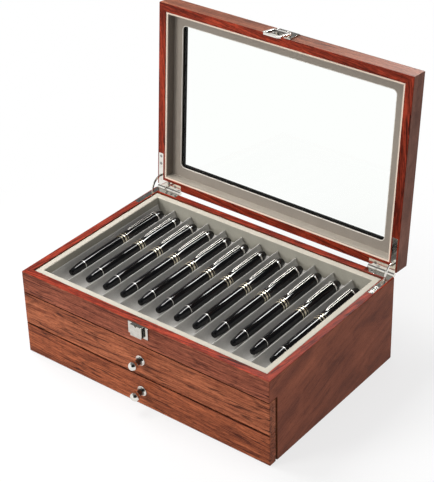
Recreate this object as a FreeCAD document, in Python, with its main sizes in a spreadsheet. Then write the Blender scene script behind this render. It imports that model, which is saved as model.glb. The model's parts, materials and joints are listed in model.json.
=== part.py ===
"""Pen collector chest: glass-lidded tray over two drawers, drawn with its lid open.

Millimetres, +Z up, +X to the right seen from the front, front towards -Y.
The origin is the centre of the footprint that the case stands on.
Lid pieces are drawn shut and then swung open about the hinge pins.
"""
import FreeCAD, Part
import os
import re
import Sketcher

SIZES = {
    # case
    "case_width": 300.0,
    "case_depth": 204.0,
    "case_height": 96.0,
    "wall_thickness": 8.8,
    "apron_height": 23.4,
    "upper_front_height": 36.1,
    "front_seam": 0.8,
    "front_thickness": 9.0,
    "side_reveal": 3.0,
    "edge_round": 0.8,
    "panel_thickness": 3.2,
    "panel_tongue": 3.0,
    # tray lining and the grooved beds
    "tray_floor_thickness": 2.4,
    "liner_thickness": 6.8,
    "liner_drop": 0.8,
    "groove_count": 12,
    "groove_depth": 10.5,
    "ridge_width": 0.8,
    "bed_skin": 1.5,
    "bed_gap": 0.3,
    # lid
    "lid_height": 19.5,
    "lid_gap": 0.4,
    "open_angle": 94.5,
    "window_border": 22.4,
    "window_corner": 5.0,
    "top_frame_thickness": 4.5,
    "glass_thickness": 2.4,
    "glass_gap": 0.4,
    "bezel_thickness": 2.2,
    "lid_liner_thickness": 3.2,
    # quadrant hinges
    "leaf_thickness": 1.2,
    "leaf_margin": 1.6,
    "leaf_inset": 1.4,
    "leaf_side_length": 37.0,
    "leaf_back_length": 30.0,
    "leaf_back_inset": 2.4,
    "knuckle_radius": 2.0,
    "knuckle_gap": 0.4,
    "pin_radius": 0.9,
    "pin_clearance": 0.05,
    "stay_radius": 13.6,
    "stay_width": 2.2,
    "stay_thickness": 1.2,
    "stay_clearance": 0.2,
    "lug_play": 0.25,
    "lug_angle": 5.0,
    "lug_thickness": 2.4,
    # leaf screws
    "screw_radius": 0.9,
    "screw_head_radius": 1.8,
    "screw_head_height": 1.0,
    "screw_length": 6.0,
    "outer_screw_place": 33.5,
    "inner_screw_place": 25.0,
    "back_screw_place": 24.0,
    # catch on the apron
    "catch_plate_width": 23.6,
    "catch_plate_height": 13.0,
    "catch_plate_thickness": 1.2,
    "catch_drop": 0.9,
    "catch_block_width": 13.4,
    "catch_block_height": 12.4,
    "catch_block_reach": 4.5,
    "catch_notch": 1.8,
    "catch_notch_depth": 1.5,
    "prong_radius": 0.8,
    "prong_length": 4.5,
    "prong_place": 8.5,
    # hasp on the lid
    "hasp_plate_height": 16.5,
    "hasp_plate_rise": 0.6,
    "hasp_prong_rise": 13.0,
    "hasp_pin_rise": 6.0,
    "hasp_pin_reach": 4.0,
    "hasp_pin_radius": 0.8,
    "hasp_barrel_radius": 1.5,
    "hasp_lug_radius": 1.6,
    "hasp_lug_width": 2.0,
    "hasp_lug_gap": 0.4,
    "hasp_barrel_half": 5.8,
    "ring_half_width": 10.7,
    "ring_bar": 3.0,
    "ring_thickness": 2.0,
    "ring_end_bar": 2.6,
    "ring_corner": 3.0,
    "ring_top_bar": 2.4,
    "ring_top_gap": 2.0,
    "ring_catch_gap": 0.3,
    "ring_rest_angle": 6.0,
    # drawers
    "drawer_side_gap": 0.8,
    "drawer_slide_gap": 0.15,
    "drawer_head_gap": 1.0,
    "drawer_stop_gap": 0.3,
    "drawer_side_thickness": 6.0,
    "drawer_bottom_rise": 2.0,
    "drawer_bottom_thickness": 3.0,
    "drawer_bottom_tongue": 3.0,
    # knobs
    "knob_flange_radius": 5.3,
    "knob_flange_thickness": 0.9,
    "knob_dome_height": 1.7,
    "knob_neck_radius": 2.3,
    "knob_ball_radius": 4.6,
    "knob_ball_reach": 10.9,
    "knob_screw_radius": 1.5,
    "knob_screw_depth": 5.5,
    "knob_screw_head_radius": 3.0,
    "knob_screw_head_height": 1.6,
    # pens
    "pen_length": 140.0,
    "pen_head_gap": 8.0,
    "pen_rest_gap": 0.15,
    "pen_cap_radius": 6.0,
    "pen_cap_length": 67.0,
    "pen_dome_length": 12.0,
    "pen_barrel_radius": 5.4,
    "pen_waist_radius": 4.9,
    "pen_tail_radius": 3.3,
    "pen_tail_length": 18.0,
    "clip_width": 2.4,
    "clip_thickness": 1.0,
    "clip_lift": 0.6,
    "clip_length": 43.0,
    "clip_root": 2.0,
}

PLACES = {
    "half_width": "case_width / 2",
    "half_depth": "case_depth / 2",
    "inner_width": "half_width - wall_thickness",
    "inner_depth": "half_depth - wall_thickness",
    "cavity_width": "inner_width - liner_thickness",
    "cavity_depth": "inner_depth - liner_thickness",
    "apron_low": "case_height - apron_height",
    "front_back": "front_thickness - half_depth",
    "case_front": "front_back + side_reveal",
    "upper_front_top": "apron_low - front_seam",
    "upper_front_low": "upper_front_top - upper_front_height",
    "lower_front_top": "upper_front_low - front_seam",
    "lower_front_low": "front_seam",
    "divider_low": "(upper_front_low + lower_front_top - panel_thickness) / 2",
    "divider_top": "divider_low + panel_thickness",
    "tray_floor_top": "apron_low + tray_floor_thickness",
    "liner_top": "case_height - liner_drop",
    "groove_pitch": "2 * cavity_width / groove_count",
    "groove_chord": "groove_pitch - ridge_width",
    "groove_radius": "(groove_chord * groove_chord / 4 + groove_depth * groove_depth) / (2 * groove_depth)",
    "bed_height": "bed_skin + groove_depth",
    "tray_valley": "tray_floor_top + bed_skin",
    # lid
    "lid_low": "case_height + lid_gap",
    "lid_top": "lid_low + lid_height",
    "glass_top": "lid_top - top_frame_thickness",
    "bezel_top": "glass_top - glass_thickness",
    "bezel_low": "bezel_top - bezel_thickness",
    "window_width": "half_width - window_border",
    "window_depth": "half_depth - window_border",
    # hinges
    "hinge_back": "half_depth + knuckle_radius + knuckle_gap",
    "hinge_level": "case_height + lid_gap / 2",
    "leaf_outer": "half_width - leaf_margin",
    "leaf_inner": "inner_width + leaf_inset",
    "leaf_back_width": "wall_thickness - leaf_back_inset",
    "stay_place": "(leaf_outer + leaf_inner) / 2",
    "stay_inner_radius": "stay_radius - stay_width / 2",
    "stay_outer_radius": "stay_radius + stay_width / 2",
    "lug_start": "atan((lid_gap / 2 + leaf_thickness + lug_play) / stay_inner_radius) / 1deg",
    "stay_overrun": "lug_start + lug_angle",
    "pocket_sweep": "open_angle / 2 + stay_overrun + atan(stay_clearance / stay_inner_radius) / 1deg",
    "knuckle_length": "(leaf_back_length - 2 * knuckle_gap) / 3",
    "knuckle_step": "knuckle_length + knuckle_gap",
    # catch and hasp
    "plate_face": "-half_depth - catch_plate_thickness",
    "block_face": "-half_depth - catch_block_reach",
    "catch_top": "case_height - catch_drop",
    "block_low": "catch_top - catch_block_height",
    "hasp_pin_level": "lid_low + hasp_pin_rise",
    "hasp_pin_front": "-half_depth - hasp_pin_reach",
    "ring_back": "hasp_pin_front + ring_thickness / 2",
    "ring_front": "hasp_pin_front - ring_thickness / 2",
    "ring_top": "hasp_pin_level - ring_top_gap",
    "ring_hole_top": "ring_top - ring_top_bar",
    "ring_hole_low": "block_low - ring_catch_gap",
    "ring_low": "ring_hole_low - ring_end_bar",
    "ring_hole_half": "ring_half_width - ring_bar",
    "lug_place": "hasp_barrel_half + hasp_lug_gap + hasp_lug_width / 2",
    # drawers
    "drawer_outer": "inner_width - drawer_side_gap",
    "drawer_inner": "drawer_outer - drawer_side_thickness",
    "drawer_end": "inner_depth - drawer_stop_gap",
    "drawer_back_face": "drawer_end - drawer_side_thickness",
    "drawer_bed_front": "front_back + knob_screw_head_height + bed_gap",
    "drawer_bed_end": "drawer_back_face - bed_gap",
    "drawer_floor": "drawer_bottom_rise + drawer_bottom_thickness",
    # pens
    "pen_axis": "tray_valley + pen_rest_gap + pen_cap_radius",
    "pen_head": "cavity_depth - pen_head_gap",
    "pen_tail": "pen_head - pen_length",
    "pen_cap_start": "pen_head - pen_cap_length",
    "pen_dome_start": "pen_head - pen_dome_length",
    "clip_low": "pen_axis + pen_cap_radius + clip_lift",
}

SIDES = {"left": -1, "right": 1}

doc = FreeCAD.newDocument("PenChest")
nodes = []


# ---------------------------------------------------------------- sheets and expressions

def make_sheet(name, values):
    sheet = doc.addObject("Spreadsheet::Sheet", name)
    for row, (alias, value) in enumerate(values.items(), start=1):
        sheet.set(f"A{row}", alias)
        sheet.set(f"B{row}", value)
        sheet.setAlias(f"B{row}", alias)
    doc.recompute()
    return sheet


def full(expression):
    """Names each sheet value in an expression in full."""
    def sheet_name(match):
        word = match.group(0)
        if word in SIZES:
            return "Sizes." + word
        if word in PLACES:
            return "Places." + word
        return word
    return re.sub(r"[a-z_]+", sheet_name, str(expression))


sizes = make_sheet("Sizes", {name: str(value) for name, value in SIZES.items()})
places = make_sheet("Places", {name: "=" + full(formula) for name, formula in PLACES.items()})


def value(name):
    sheet = sizes if name in SIZES else places
    return float(sheet.get(name))


def bind(item, **properties):
    for name, expression in properties.items():
        item.setExpression(name, full(expression))
    return item


NO_TURN = "rotation(vector(0; 0; 1); 0)"
ALONG_X = "rotation(vector(0; 1; 0); 90)"
ALONG_Y = "rotation(vector(1; 0; 0); -90)"
TO_FRONT = "rotation(vector(1; 0; 0); 90)"
DOWN = "rotation(vector(1; 0; 0); 180)"
HALF_TURNED_RIGHT = "rotation(vector(0; 1; 0); -45)"
HALF_TURNED_LEFT = "rotation(vector(0; 1; 0); 45)"


def place(x="0", y="0", z="0", turn=NO_TURN):
    return f"placement(vector({x}; {y}; {z}); {turn})"


def swing(angle, y, z):
    """Turns about an axis along X, front edge upwards for a positive angle."""
    turned = place(y=y, z=z, turn=f"rotation(vector(-1; 0; 0); {angle})")
    return f"{turned} * {place(y=f'-({y})', z=f'-({z})')}"


LID = swing("open_angle", "hinge_back", "hinge_level")
RING = f"{LID} * {swing('ring_rest_angle', 'hasp_pin_front', 'hasp_pin_level')}"


# ---------------------------------------------------------------- shapes

def box(name, x, y, z, frame=""):
    item = doc.addObject("Part::Box", name)
    spans = [f"({high}) - ({low})" for low, high in (x, y, z)]
    bind(item, Length=spans[0], Width=spans[1], Height=spans[2])
    at = place(x[0], y[0], z[0])
    return bind(item, Placement=f"{frame} * {at}" if frame else at)


def cylinder(name, radius, length, at, frame=""):
    item = doc.addObject("Part::Cylinder", name)
    return bind(item, Radius=radius, Height=length, Placement=f"{frame} * {at}" if frame else at)


def cone(name, low_radius, high_radius, length, at):
    item = doc.addObject("Part::Cone", name)
    return bind(item, Radius1=low_radius, Radius2=high_radius, Height=length, Placement=at)


def fuse(name, parts):
    item = doc.addObject("Part::MultiFuse", name)
    item.Shapes = parts
    return item


def group(name, parts):
    """Separate solids that share one node."""
    item = doc.addObject("Part::Compound", name)
    item.Links = parts
    return item


def cut(name, base, tools):
    item = doc.addObject("Part::Cut", name)
    item.Base = base
    item.Tool = tools[0] if len(tools) == 1 else group(name + "_cutters", tools)
    return item


def node(item, label, frame=""):
    """Names a finished piece and puts it where it stands at rest."""
    item.Label = label
    if frame:
        bind(item, Placement=frame)
    nodes.append(item)
    return item


# plan of a box of boards: each side's start corner, its turn and its run
BOARD_SIDES = {
    "front": ("-{w}", "-{d}", 0, "w"),
    "right": ("{w}", "-{d}", 90, "d"),
    "back": ("{w}", "{d}", 180, "w"),
    "left": ("-{w}", "{d}", 270, "d"),
}


def board(name, side, half_width, half_depth, thickness, low, high, frame=""):
    """One mitred board of a rectangular box; the half sizes are those of its outer face."""
    x, y, turn, run = BOARD_SIDES[side]
    half = half_width if run == "w" else half_depth
    item = doc.addObject("Part::Wedge", name)
    bind(item, Xmin="0", Xmax=f"2 * ({half})", X2min=thickness, X2max=f"2 * ({half}) - ({thickness})")
    bind(item, Ymin="0", Ymax=thickness)
    bind(item, Zmin="0", Z2min="0", Zmax=f"({high}) - ({low})", Z2max=f"({high}) - ({low})")
    at = place(
        x.format(w=f"({half_width})"),
        y.format(d=f"({half_depth})"),
        low,
        f"rotation(vector(0; 0; 1); {turn})",
    )
    return bind(item, Placement=f"{frame} * {at}" if frame else at)


def ring_sector(name, centre_x, thickness, start, sweep, play="0"):
    """Part of a flat ring round the hinge pins; angles rise from straight forward."""
    upright = "rotation(vector(0; 1; 0); -90) * rotation(vector(0; 0; 1); -90)"
    at = place(
        f"{centre_x} + ({thickness}) / 2",
        "hinge_back",
        "hinge_level",
        f"rotation(vector(-1; 0; 0); {start}) * {upright}",
    )
    outer = cylinder(name + "_outer", f"stay_outer_radius + {play}", thickness, at)
    bind(outer, Angle=sweep)
    inner = cylinder(name + "_inner", f"stay_inner_radius - {play}", thickness, at)
    return cut(name, outer, [inner])


def origin_plane(body, role):
    return next(plane for plane in body.Origin.OriginFeatures if plane.Role == role)


def sketch_on(body, role, name):
    sketch = body.newObject("Sketcher::SketchObject", name)
    sketch.AttachmentSupport = [(origin_plane(body, role), "")]
    sketch.MapMode = "FlatFace"
    return sketch


def constrain(sketch, expression, *constraint):
    index = sketch.addConstraint(Sketcher.Constraint(*constraint))
    sketch.setExpression(f"Constraints[{index}]", full(expression))


def rectangle(sketch, x, y, start):
    """A rectangle whose sides lie at the expressions x and y; start holds rough numbers."""
    (left, right), (low, high) = start
    corners = [(left, low), (right, low), (right, high), (left, high)]
    points = [FreeCAD.Vector(px, py, 0) for px, py in corners]
    for index in range(4):
        sketch.addGeometry(Part.LineSegment(points[index], points[(index + 1) % 4]), False)
    for index in range(4):
        sketch.addConstraint(Sketcher.Constraint("Coincident", index, 2, (index + 1) % 4, 1))
    for index, kind in enumerate(("Horizontal", "Vertical", "Horizontal", "Vertical")):
        sketch.addConstraint(Sketcher.Constraint(kind, index))
    constrain(sketch, x[0], "DistanceX", -1, 1, 0, 1, left)
    constrain(sketch, x[1], "DistanceX", -1, 1, 0, 2, right)
    constrain(sketch, y[0], "DistanceY", -1, 1, 0, 1, low)
    constrain(sketch, y[1], "DistanceY", -1, 1, 2, 1, high)


def grooved_bed(label, half_width, front, end, low):
    """A padded bed whose top is a row of round grooves between narrow ridges."""
    body = doc.addObject("PartDesign::Body", label)
    bind(body, Placement=place(y=end, z=low))
    outline = sketch_on(body, "XZ_Plane", label + "_outline")
    wide, tall = value("cavity_width"), value("bed_height")
    rectangle(outline, (f"-({half_width})", half_width), ("0", "bed_height"), ((-wide, wide), (0, tall)))
    slab = body.newObject("PartDesign::Pad", label + "_slab")
    slab.Profile = outline
    bind(slab, Length=f"({end}) - ({front})")
    doc.recompute()
    round_sketch = sketch_on(body, "XZ_Plane", label + "_groove_end")
    pitch, radius = value("groove_pitch"), value("groove_radius")
    centre = FreeCAD.Vector(-wide + pitch / 2, value("bed_skin") + radius, 0)
    round_sketch.addGeometry(Part.Circle(centre, FreeCAD.Vector(0, 0, 1), radius), False)
    constrain(round_sketch, f"groove_pitch / 2 - ({half_width})", "DistanceX", -1, 1, 0, 3, centre.x)
    constrain(round_sketch, "bed_skin + groove_radius", "DistanceY", -1, 1, 0, 3, centre.y)
    constrain(round_sketch, "groove_radius", "Radius", 0, radius)
    groove = body.newObject("PartDesign::Pocket", label + "_groove")
    groove.Profile = round_sketch
    groove.Type = "ThroughAll"
    groove.Reversed = True
    doc.recompute()
    row = body.newObject("PartDesign::LinearPattern", label + "_grooves")
    row.Originals = [groove]
    row.Direction = (round_sketch, ["H_Axis"])
    bind(row, Length="groove_pitch * (groove_count - 1)", Occurrences="groove_count")
    body.Tip = row
    doc.recompute()
    if row.Shape.Volume > slab.Shape.Volume * 0.9:
        raise RuntimeError(label + ": the grooves cut nothing")
    return node(body, label)


# ---------------------------------------------------------------- hinges

def leaf_screws(name, low, down):
    """Countersunk screws of one pair of leaves, heads flush with the leaves' free faces."""
    screws = []
    turn = DOWN if down else NO_TURN
    for side, sign in SIDES.items():
        spots = [
            (f"{sign} * stay_place", "half_depth - outer_screw_place"),
            (f"{sign} * stay_place", "half_depth - inner_screw_place"),
            (f"{sign} * (half_width - back_screw_place)", "half_depth - leaf_back_width / 2"),
        ]
        for number, (x, y) in enumerate(spots, start=1):
            at = place(x, y, low, turn)
            screw = f"{name}_{side}_{number}"
            head = cone(screw + "_head", "screw_head_radius", "screw_radius", "screw_head_height", at)
            shank = cylinder(screw + "_shank", "screw_radius", "screw_length", at)
            screws.append(fuse(screw, [head, shank]))
    return group(name, screws)


def leaf_plates(name, sign, low, high):
    """The L of one leaf: a leg along the side wall and a leg along the back."""
    far = f"{sign} * leaf_outer"
    near_side = f"{sign} * leaf_inner"
    near_back = f"{sign} * (leaf_outer - leaf_back_length)"
    side_x = (near_side, far) if sign > 0 else (far, near_side)
    back_x = (near_back, far) if sign > 0 else (far, near_back)
    side_leg = box(name + "_side_leg", side_x, ("half_depth - leaf_side_length", "half_depth"), (low, high))
    back_leg = box(name + "_back_leg", back_x, ("half_depth - leaf_back_width", "half_depth"), (low, high))
    return [side_leg, back_leg]


def knuckle(name, sign, step, low, high):
    """A barrel on the pin line, with the tongue that joins it to its leaf."""
    near = f"leaf_outer - leaf_back_length + {step} * knuckle_step"
    span = (f"{near}", f"{near} + knuckle_length")
    x = span if sign > 0 else (f"-({span[1]})", f"-({span[0]})")
    tongue = box(name + "_tongue", x, ("half_depth - leaf_thickness", "hinge_back"), (low, high))
    at = place(x[0], "hinge_back", "hinge_level", ALONG_X)
    return [cylinder(name + "_barrel", "knuckle_radius", "knuckle_length", at), tongue]


def pin_line(name, sign, radius):
    """A cylinder along the whole of one hinge's pin."""
    x = "leaf_outer - leaf_back_length" if sign > 0 else "-leaf_outer"
    return cylinder(name, radius, "leaf_back_length", place(x, "hinge_back", "hinge_level", ALONG_X))


def hinge_leaf(label, sign, low, high, steps, bore, screws, frame=""):
    parts = leaf_plates(label, sign, low, high)
    for step in steps:
        parts += knuckle(f"{label}_{step}", sign, step, low, high)
    blank = fuse(label + "_blank", parts)
    hole = pin_line(label + "_bore", sign, bore)
    centre = f"{sign} * stay_place"
    half_slot = "(stay_thickness / 2 + stay_clearance)"
    slot = box(
        label + "_slot",
        (f"{centre} - {half_slot}", f"{centre} + {half_slot}"),
        (
            "hinge_back - stay_outer_radius - stay_clearance",
            "hinge_back - stay_inner_radius + stay_clearance",
        ),
        (f"{low} - leaf_thickness", f"{high} + leaf_thickness"),
    )
    return node(cut(label, blank, [hole, slot, screws]), label, frame)


def hinges():
    base_low, base_high = "case_height - leaf_thickness", "case_height"
    lid_low, lid_high = "lid_low", "lid_low + leaf_thickness"
    base_screws = leaf_screws("base_hinge_screws", base_high, True)
    lid_screws = leaf_screws("lid_hinge_screws_shut", lid_low, False)
    node(base_screws, "base_hinge_screws")
    node(group("lid_hinge_screws", lid_screws.Links), "lid_hinge_screws", LID)
    tools = {"base": [base_screws], "lid": [lid_screws]}
    for side, sign in SIDES.items():
        base_name, lid_name = f"hinge_base_leaf_{side}", f"hinge_lid_leaf_{side}"
        hinge_leaf(base_name, sign, base_low, base_high, (0, 2), "pin_radius", base_screws)
        bore = "pin_radius + pin_clearance"
        hinge_leaf(lid_name, sign, lid_low, lid_high, (1,), bore, lid_screws, LID)
        tools["base"] += leaf_plates(f"base_recess_{side}", sign, base_low, base_high)
        tools["lid"] += leaf_plates(f"lid_recess_{side}", sign, lid_low, lid_high)
        centre = f"{sign} * stay_place"
        width = "lug_thickness + 2 * stay_clearance"
        play = "stay_clearance"
        below = ring_sector(f"base_pocket_{side}", centre, width, "-(pocket_sweep)", "pocket_sweep", play)
        above = ring_sector(f"lid_pocket_{side}", centre, width, "0", "pocket_sweep", play)
        tools["base"].append(below)
        tools["lid"].append(above)
    pins = [pin_line(f"hinge_pin_{side}", sign, "pin_radius") for side, sign in SIDES.items()]
    node(group("hinge_pins", pins), "hinge_pins")
    return tools


def hinge_stays():
    """Curved stays that slide through both leaves; a wider lug at each end stops the lid."""
    for side, sign in SIDES.items():
        centre = f"{sign} * stay_place"
        label = f"hinge_stay_{side}"
        reach = "open_angle + 2 * stay_overrun"
        arc = ring_sector(label + "_arc", centre, "stay_thickness", "-stay_overrun", reach)
        low_lug = ring_sector(label + "_low_lug", centre, "lug_thickness", "-stay_overrun", "lug_angle")
        high_start = "open_angle + stay_overrun - lug_angle"
        high_lug = ring_sector(label + "_high_lug", centre, "lug_thickness", high_start, "lug_angle")
        node(fuse(label, [arc, low_lug, high_lug]), label)


# ---------------------------------------------------------------- case

def case(hinge_tools):
    tongue_x = "inner_width + panel_tongue"
    tongue_y = "inner_depth + panel_tongue"
    span_x = (f"-({tongue_x})", tongue_x)
    bottom = box("bottom_panel", span_x, ("case_front", tongue_y), ("0", "panel_thickness"))
    divider = box("drawer_divider", span_x, ("case_front", tongue_y), ("divider_low", "divider_top"))
    tray_y = (f"-({tongue_y})", tongue_y)
    floor = box("tray_floor", span_x, tray_y, ("apron_low", "tray_floor_top"))
    for panel in (bottom, divider, floor):
        node(panel, panel.Name)
    notch = box(
        "drawer_front_notch",
        ("-half_width", "half_width"),
        ("-half_depth", "case_front"),
        ("0", "apron_low"),
    )
    walls = {
        "front_apron": ("front", "apron_low", [floor]),
        "right_side_panel": ("right", "0", [floor, divider, bottom, notch] + hinge_tools),
        "back_panel": ("back", "0", [floor, divider, bottom] + hinge_tools),
        "left_side_panel": ("left", "0", [floor, divider, bottom, notch] + hinge_tools),
    }
    catch = catch_block()
    outer = ("half_width", "half_depth")
    for label, (side, low, tools) in walls.items():
        blank = board(label + "_blank", side, *outer, "wall_thickness", low, "case_height")
        cutters = tools + [catch] if side == "front" else tools
        node(cut(label, blank, cutters), label)


def catch_block():
    """Cast plate and block that the hasp ring snaps over, held by two prongs."""
    half_plate = "catch_plate_width / 2"
    plate = box(
        "catch_plate",
        (f"-{half_plate}", half_plate),
        ("plate_face", "-half_depth"),
        ("catch_top - catch_plate_height", "catch_top"),
    )
    half_block = "catch_block_width / 2"
    block = box(
        "catch_nose",
        (f"-{half_block}", half_block),
        ("block_face", "-half_depth"),
        ("block_low", "catch_top"),
    )
    prongs = []
    for side, sign in SIDES.items():
        at = place(f"{sign} * prong_place", "-half_depth", "catch_top - catch_plate_height / 2", ALONG_Y)
        prongs.append(cylinder(f"catch_prong_{side}", "prong_radius", "prong_length", at))
    notch = doc.addObject("Part::Box", "catch_notch_tool")
    bind(notch, Length="2 * catch_notch", Width="2 * catch_notch_depth", Height="2 * catch_notch")
    upturned = "rotation(vector(0; 1; 0); -45)"
    bind(notch, Placement=place("0", "block_face - catch_notch_depth", "catch_top - catch_notch", upturned))
    blank = fuse("catch_block_blank", [plate, block] + prongs)
    return node(cut("catch_block", blank, [notch]), "catch_block")


def tray_lining():
    inner = ("inner_width", "inner_depth")
    for side in BOARD_SIDES:
        label = f"tray_liner_{side}"
        node(board(label, side, *inner, "liner_thickness", "tray_floor_top", "liner_top"), label)
    ends = ("bed_gap - cavity_depth", "cavity_depth - bed_gap")
    grooved_bed("tray_pen_bed", "cavity_width", *ends, "tray_floor_top")


# ---------------------------------------------------------------- lid

def lid(hinge_tools):
    prongs = hasp_plate()
    outer = ("half_width", "half_depth")
    for side in BOARD_SIDES:
        label = f"lid_{side}_rail"
        wall = board(label + "_wall", side, *outer, "wall_thickness", "lid_low", "lid_top")
        border = board(label + "_border", side, *outer, "window_border", "glass_top", "lid_top")
        rail = fuse(label + "_blank", [wall, border])
        tools = [prongs] if side == "front" else hinge_tools
        node(cut(label, rail, tools), label, LID)
    glass_x, glass_y = "inner_width - glass_gap", "inner_depth - glass_gap"
    glass_span = ((f"-({glass_x})", glass_x), (f"-({glass_y})", glass_y))
    node(box("lid_glass", *glass_span, ("bezel_top", "glass_top"), LID), "lid_glass")
    bezel = box("lid_bezel_blank", *glass_span, ("bezel_low", "bezel_top"))
    node(cut("lid_bezel", bezel, [window_tool()]), "lid_bezel", LID)
    liners = []
    for side in BOARD_SIDES:
        name = f"lid_liner_{side}"
        top = "lid_low + liner_drop"
        liners.append(
            board(name, side, "inner_width", "inner_depth", "lid_liner_thickness", top, "bezel_low")
        )
    node(group("lid_liner_boards", liners), "lid_liner_boards", LID)


def window_tool():
    """The bezel's opening, with round corners."""
    z = ("bezel_low", "bezel_top")
    corner = "window_corner"
    x, y = "window_width", "window_depth"
    parts = [
        box("window_wide", (f"-({x})", x), (f"{corner} - {y}", f"{y} - {corner}"), z),
        box("window_deep", (f"{corner} - {x}", f"{x} - {corner}"), (f"-({y})", y), z),
    ]
    for side, sign in SIDES.items():
        for end, turn in (("front", -1), ("back", 1)):
            at = place(f"{sign} * ({x} - {corner})", f"{turn} * ({y} - {corner})", z[0])
            parts.append(cylinder(f"window_{side}_{end}", corner, "bezel_thickness", at))
    return fuse("window_tool", parts)


def hasp_plate():
    """Plate on the lid's front rail, with two lugs that hold the ring's pin."""
    half = "catch_plate_width / 2"
    low = "lid_low + hasp_plate_rise"
    parts = [
        box(
            "hasp_flat",
            (f"-{half}", half),
            ("plate_face", "-half_depth"),
            (low, f"{low} + hasp_plate_height"),
        )
    ]
    for side, sign in SIDES.items():
        x = (f"{sign} * lug_place - hasp_lug_width / 2", f"{sign} * lug_place + hasp_lug_width / 2")
        z = ("hasp_pin_level - hasp_lug_radius", "hasp_pin_level + hasp_lug_radius")
        parts.append(box(f"hasp_lug_{side}", x, ("hasp_pin_front", "-half_depth"), z))
        at = place(x[0], "hasp_pin_front", "hasp_pin_level", ALONG_X)
        parts.append(cylinder(f"hasp_eye_{side}", "hasp_lug_radius", "hasp_lug_width", at))
        at = place(f"{sign} * prong_place", "-half_depth", "lid_low + hasp_prong_rise", ALONG_Y)
        parts.append(cylinder(f"hasp_prong_{side}", "prong_radius", "prong_length", at))
    blank = fuse("hasp_plate_blank", parts)
    start = "-(lug_place + hasp_lug_width / 2)"
    length = "2 * lug_place + hasp_lug_width"
    at = place(start, "hasp_pin_front", "hasp_pin_level", ALONG_X)
    pin_hole = cylinder("hasp_pin_hole", "hasp_pin_radius", length, at)
    node(cut("hasp_plate", blank, [pin_hole]), "hasp_plate", LID)
    node(cylinder("hasp_pin", "hasp_pin_radius", length, at, LID), "hasp_pin")
    return fuse("hasp_prongs", [part for part in parts if "prong" in part.Name])


def hasp_ring():
    """Ring with cut end corners on the hasp pin, drawn home over the catch and then swung to rest."""
    half, hole = "ring_half_width", "ring_hole_half"
    depth = ("ring_front", "ring_back")
    frame_outer = box("ring_outer", (f"-{half}", half), depth, ("ring_low", "ring_top"))
    frame_hole = box("ring_opening", (f"-({hole})", hole), depth, ("ring_hole_low", "ring_hole_top"))
    frame_bars = cut("ring_bars", frame_outer, [frame_hole])
    side = ("0", "ring_corner * sqrt(2)")
    through = ("-ring_thickness", "2 * ring_thickness")
    right_at = place(half, "ring_front", "ring_low - ring_corner", HALF_TURNED_RIGHT)
    left_at = place(f"-{half} - ring_corner", "ring_front", "ring_low", HALF_TURNED_LEFT)
    corners = [
        box("ring_corner_right", side, through, side, right_at),
        box("ring_corner_left", side, through, side, left_at),
    ]
    barrel_span = ("-hasp_barrel_half", "hasp_barrel_half")
    at = place("-hasp_barrel_half", "hasp_pin_front", "hasp_pin_level", ALONG_X)
    barrel = cylinder("ring_barrel", "hasp_barrel_radius", "2 * hasp_barrel_half", at)
    web = box("ring_web", barrel_span, depth, ("ring_top", "hasp_pin_level"))
    blank = fuse("ring_blank", [frame_bars, barrel, web])
    bore = cylinder("ring_bore", "hasp_pin_radius + pin_clearance", "2 * hasp_barrel_half", at)
    node(cut("hasp_ring", blank, [bore, *corners]), "hasp_ring", RING)


# ---------------------------------------------------------------- drawers

def drawer(tier, low, high, rest, ceiling):
    """A full-width front, a plain box behind it, a grooved bed and a turned knob."""
    base = f"({rest} + drawer_slide_gap)"
    top = f"({ceiling} - drawer_head_gap)"
    groove_low = f"{base} + drawer_bottom_rise"
    floor_top = f"{base} + drawer_floor"
    screw = knob(tier, f"({low} + {high}) / 2")
    reach_x = "drawer_inner + drawer_bottom_tongue"
    reach_y = ("front_back - drawer_bottom_tongue", "drawer_back_face + drawer_bottom_tongue")
    bottom_name = f"{tier}_drawer_bottom"
    bottom = box(bottom_name, (f"-({reach_x})", reach_x), reach_y, (groove_low, floor_top))
    node(bottom, bottom_name)
    front_name = f"{tier}_drawer_front"
    node(cut(front_name, eased_front(front_name, low, high), [bottom, screw]), front_name)
    for side, sign in SIDES.items():
        span = ("drawer_inner", "drawer_outer") if sign > 0 else ("-drawer_outer", "-drawer_inner")
        name = f"{tier}_drawer_{side}_side"
        blank = box(name + "_blank", span, ("front_back", "drawer_end"), (base, top))
        node(cut(name, blank, [bottom]), name)
    back_name = f"{tier}_drawer_back"
    back = box(
        back_name + "_blank",
        ("-drawer_inner", "drawer_inner"),
        ("drawer_back_face", "drawer_end"),
        (base, top),
    )
    node(cut(back_name, back, [bottom]), back_name)
    ends = ("drawer_bed_front", "drawer_bed_end")
    grooved_bed(f"{tier}_drawer_bed", "drawer_inner - bed_gap", *ends, floor_top)


def eased_front(label, low, high):
    """The drawer front's board, with its outer edges eased."""
    body = doc.addObject("PartDesign::Body", label + "_board")
    bind(body, Placement=place(y="front_back"))
    outline = sketch_on(body, "XZ_Plane", label + "_outline")
    rough = ((-value("half_width"), value("half_width")), (value(low), value(high)))
    rectangle(outline, ("-half_width", "half_width"), (low, high), rough)
    pad = body.newObject("PartDesign::Pad", label + "_pad")
    pad.Profile = outline
    bind(pad, Length="front_thickness")
    doc.recompute()
    face = pad.Shape.BoundBox.YMin
    names = [
        f"Edge{number}"
        for number, edge in enumerate(pad.Shape.Edges, start=1)
        if edge.BoundBox.YMax < face + 0.01
    ]
    easing = body.newObject("PartDesign::Fillet", label + "_easing")
    easing.Base = (pad, names)
    bind(easing, Radius="edge_round")
    doc.recompute()
    return body


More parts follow.
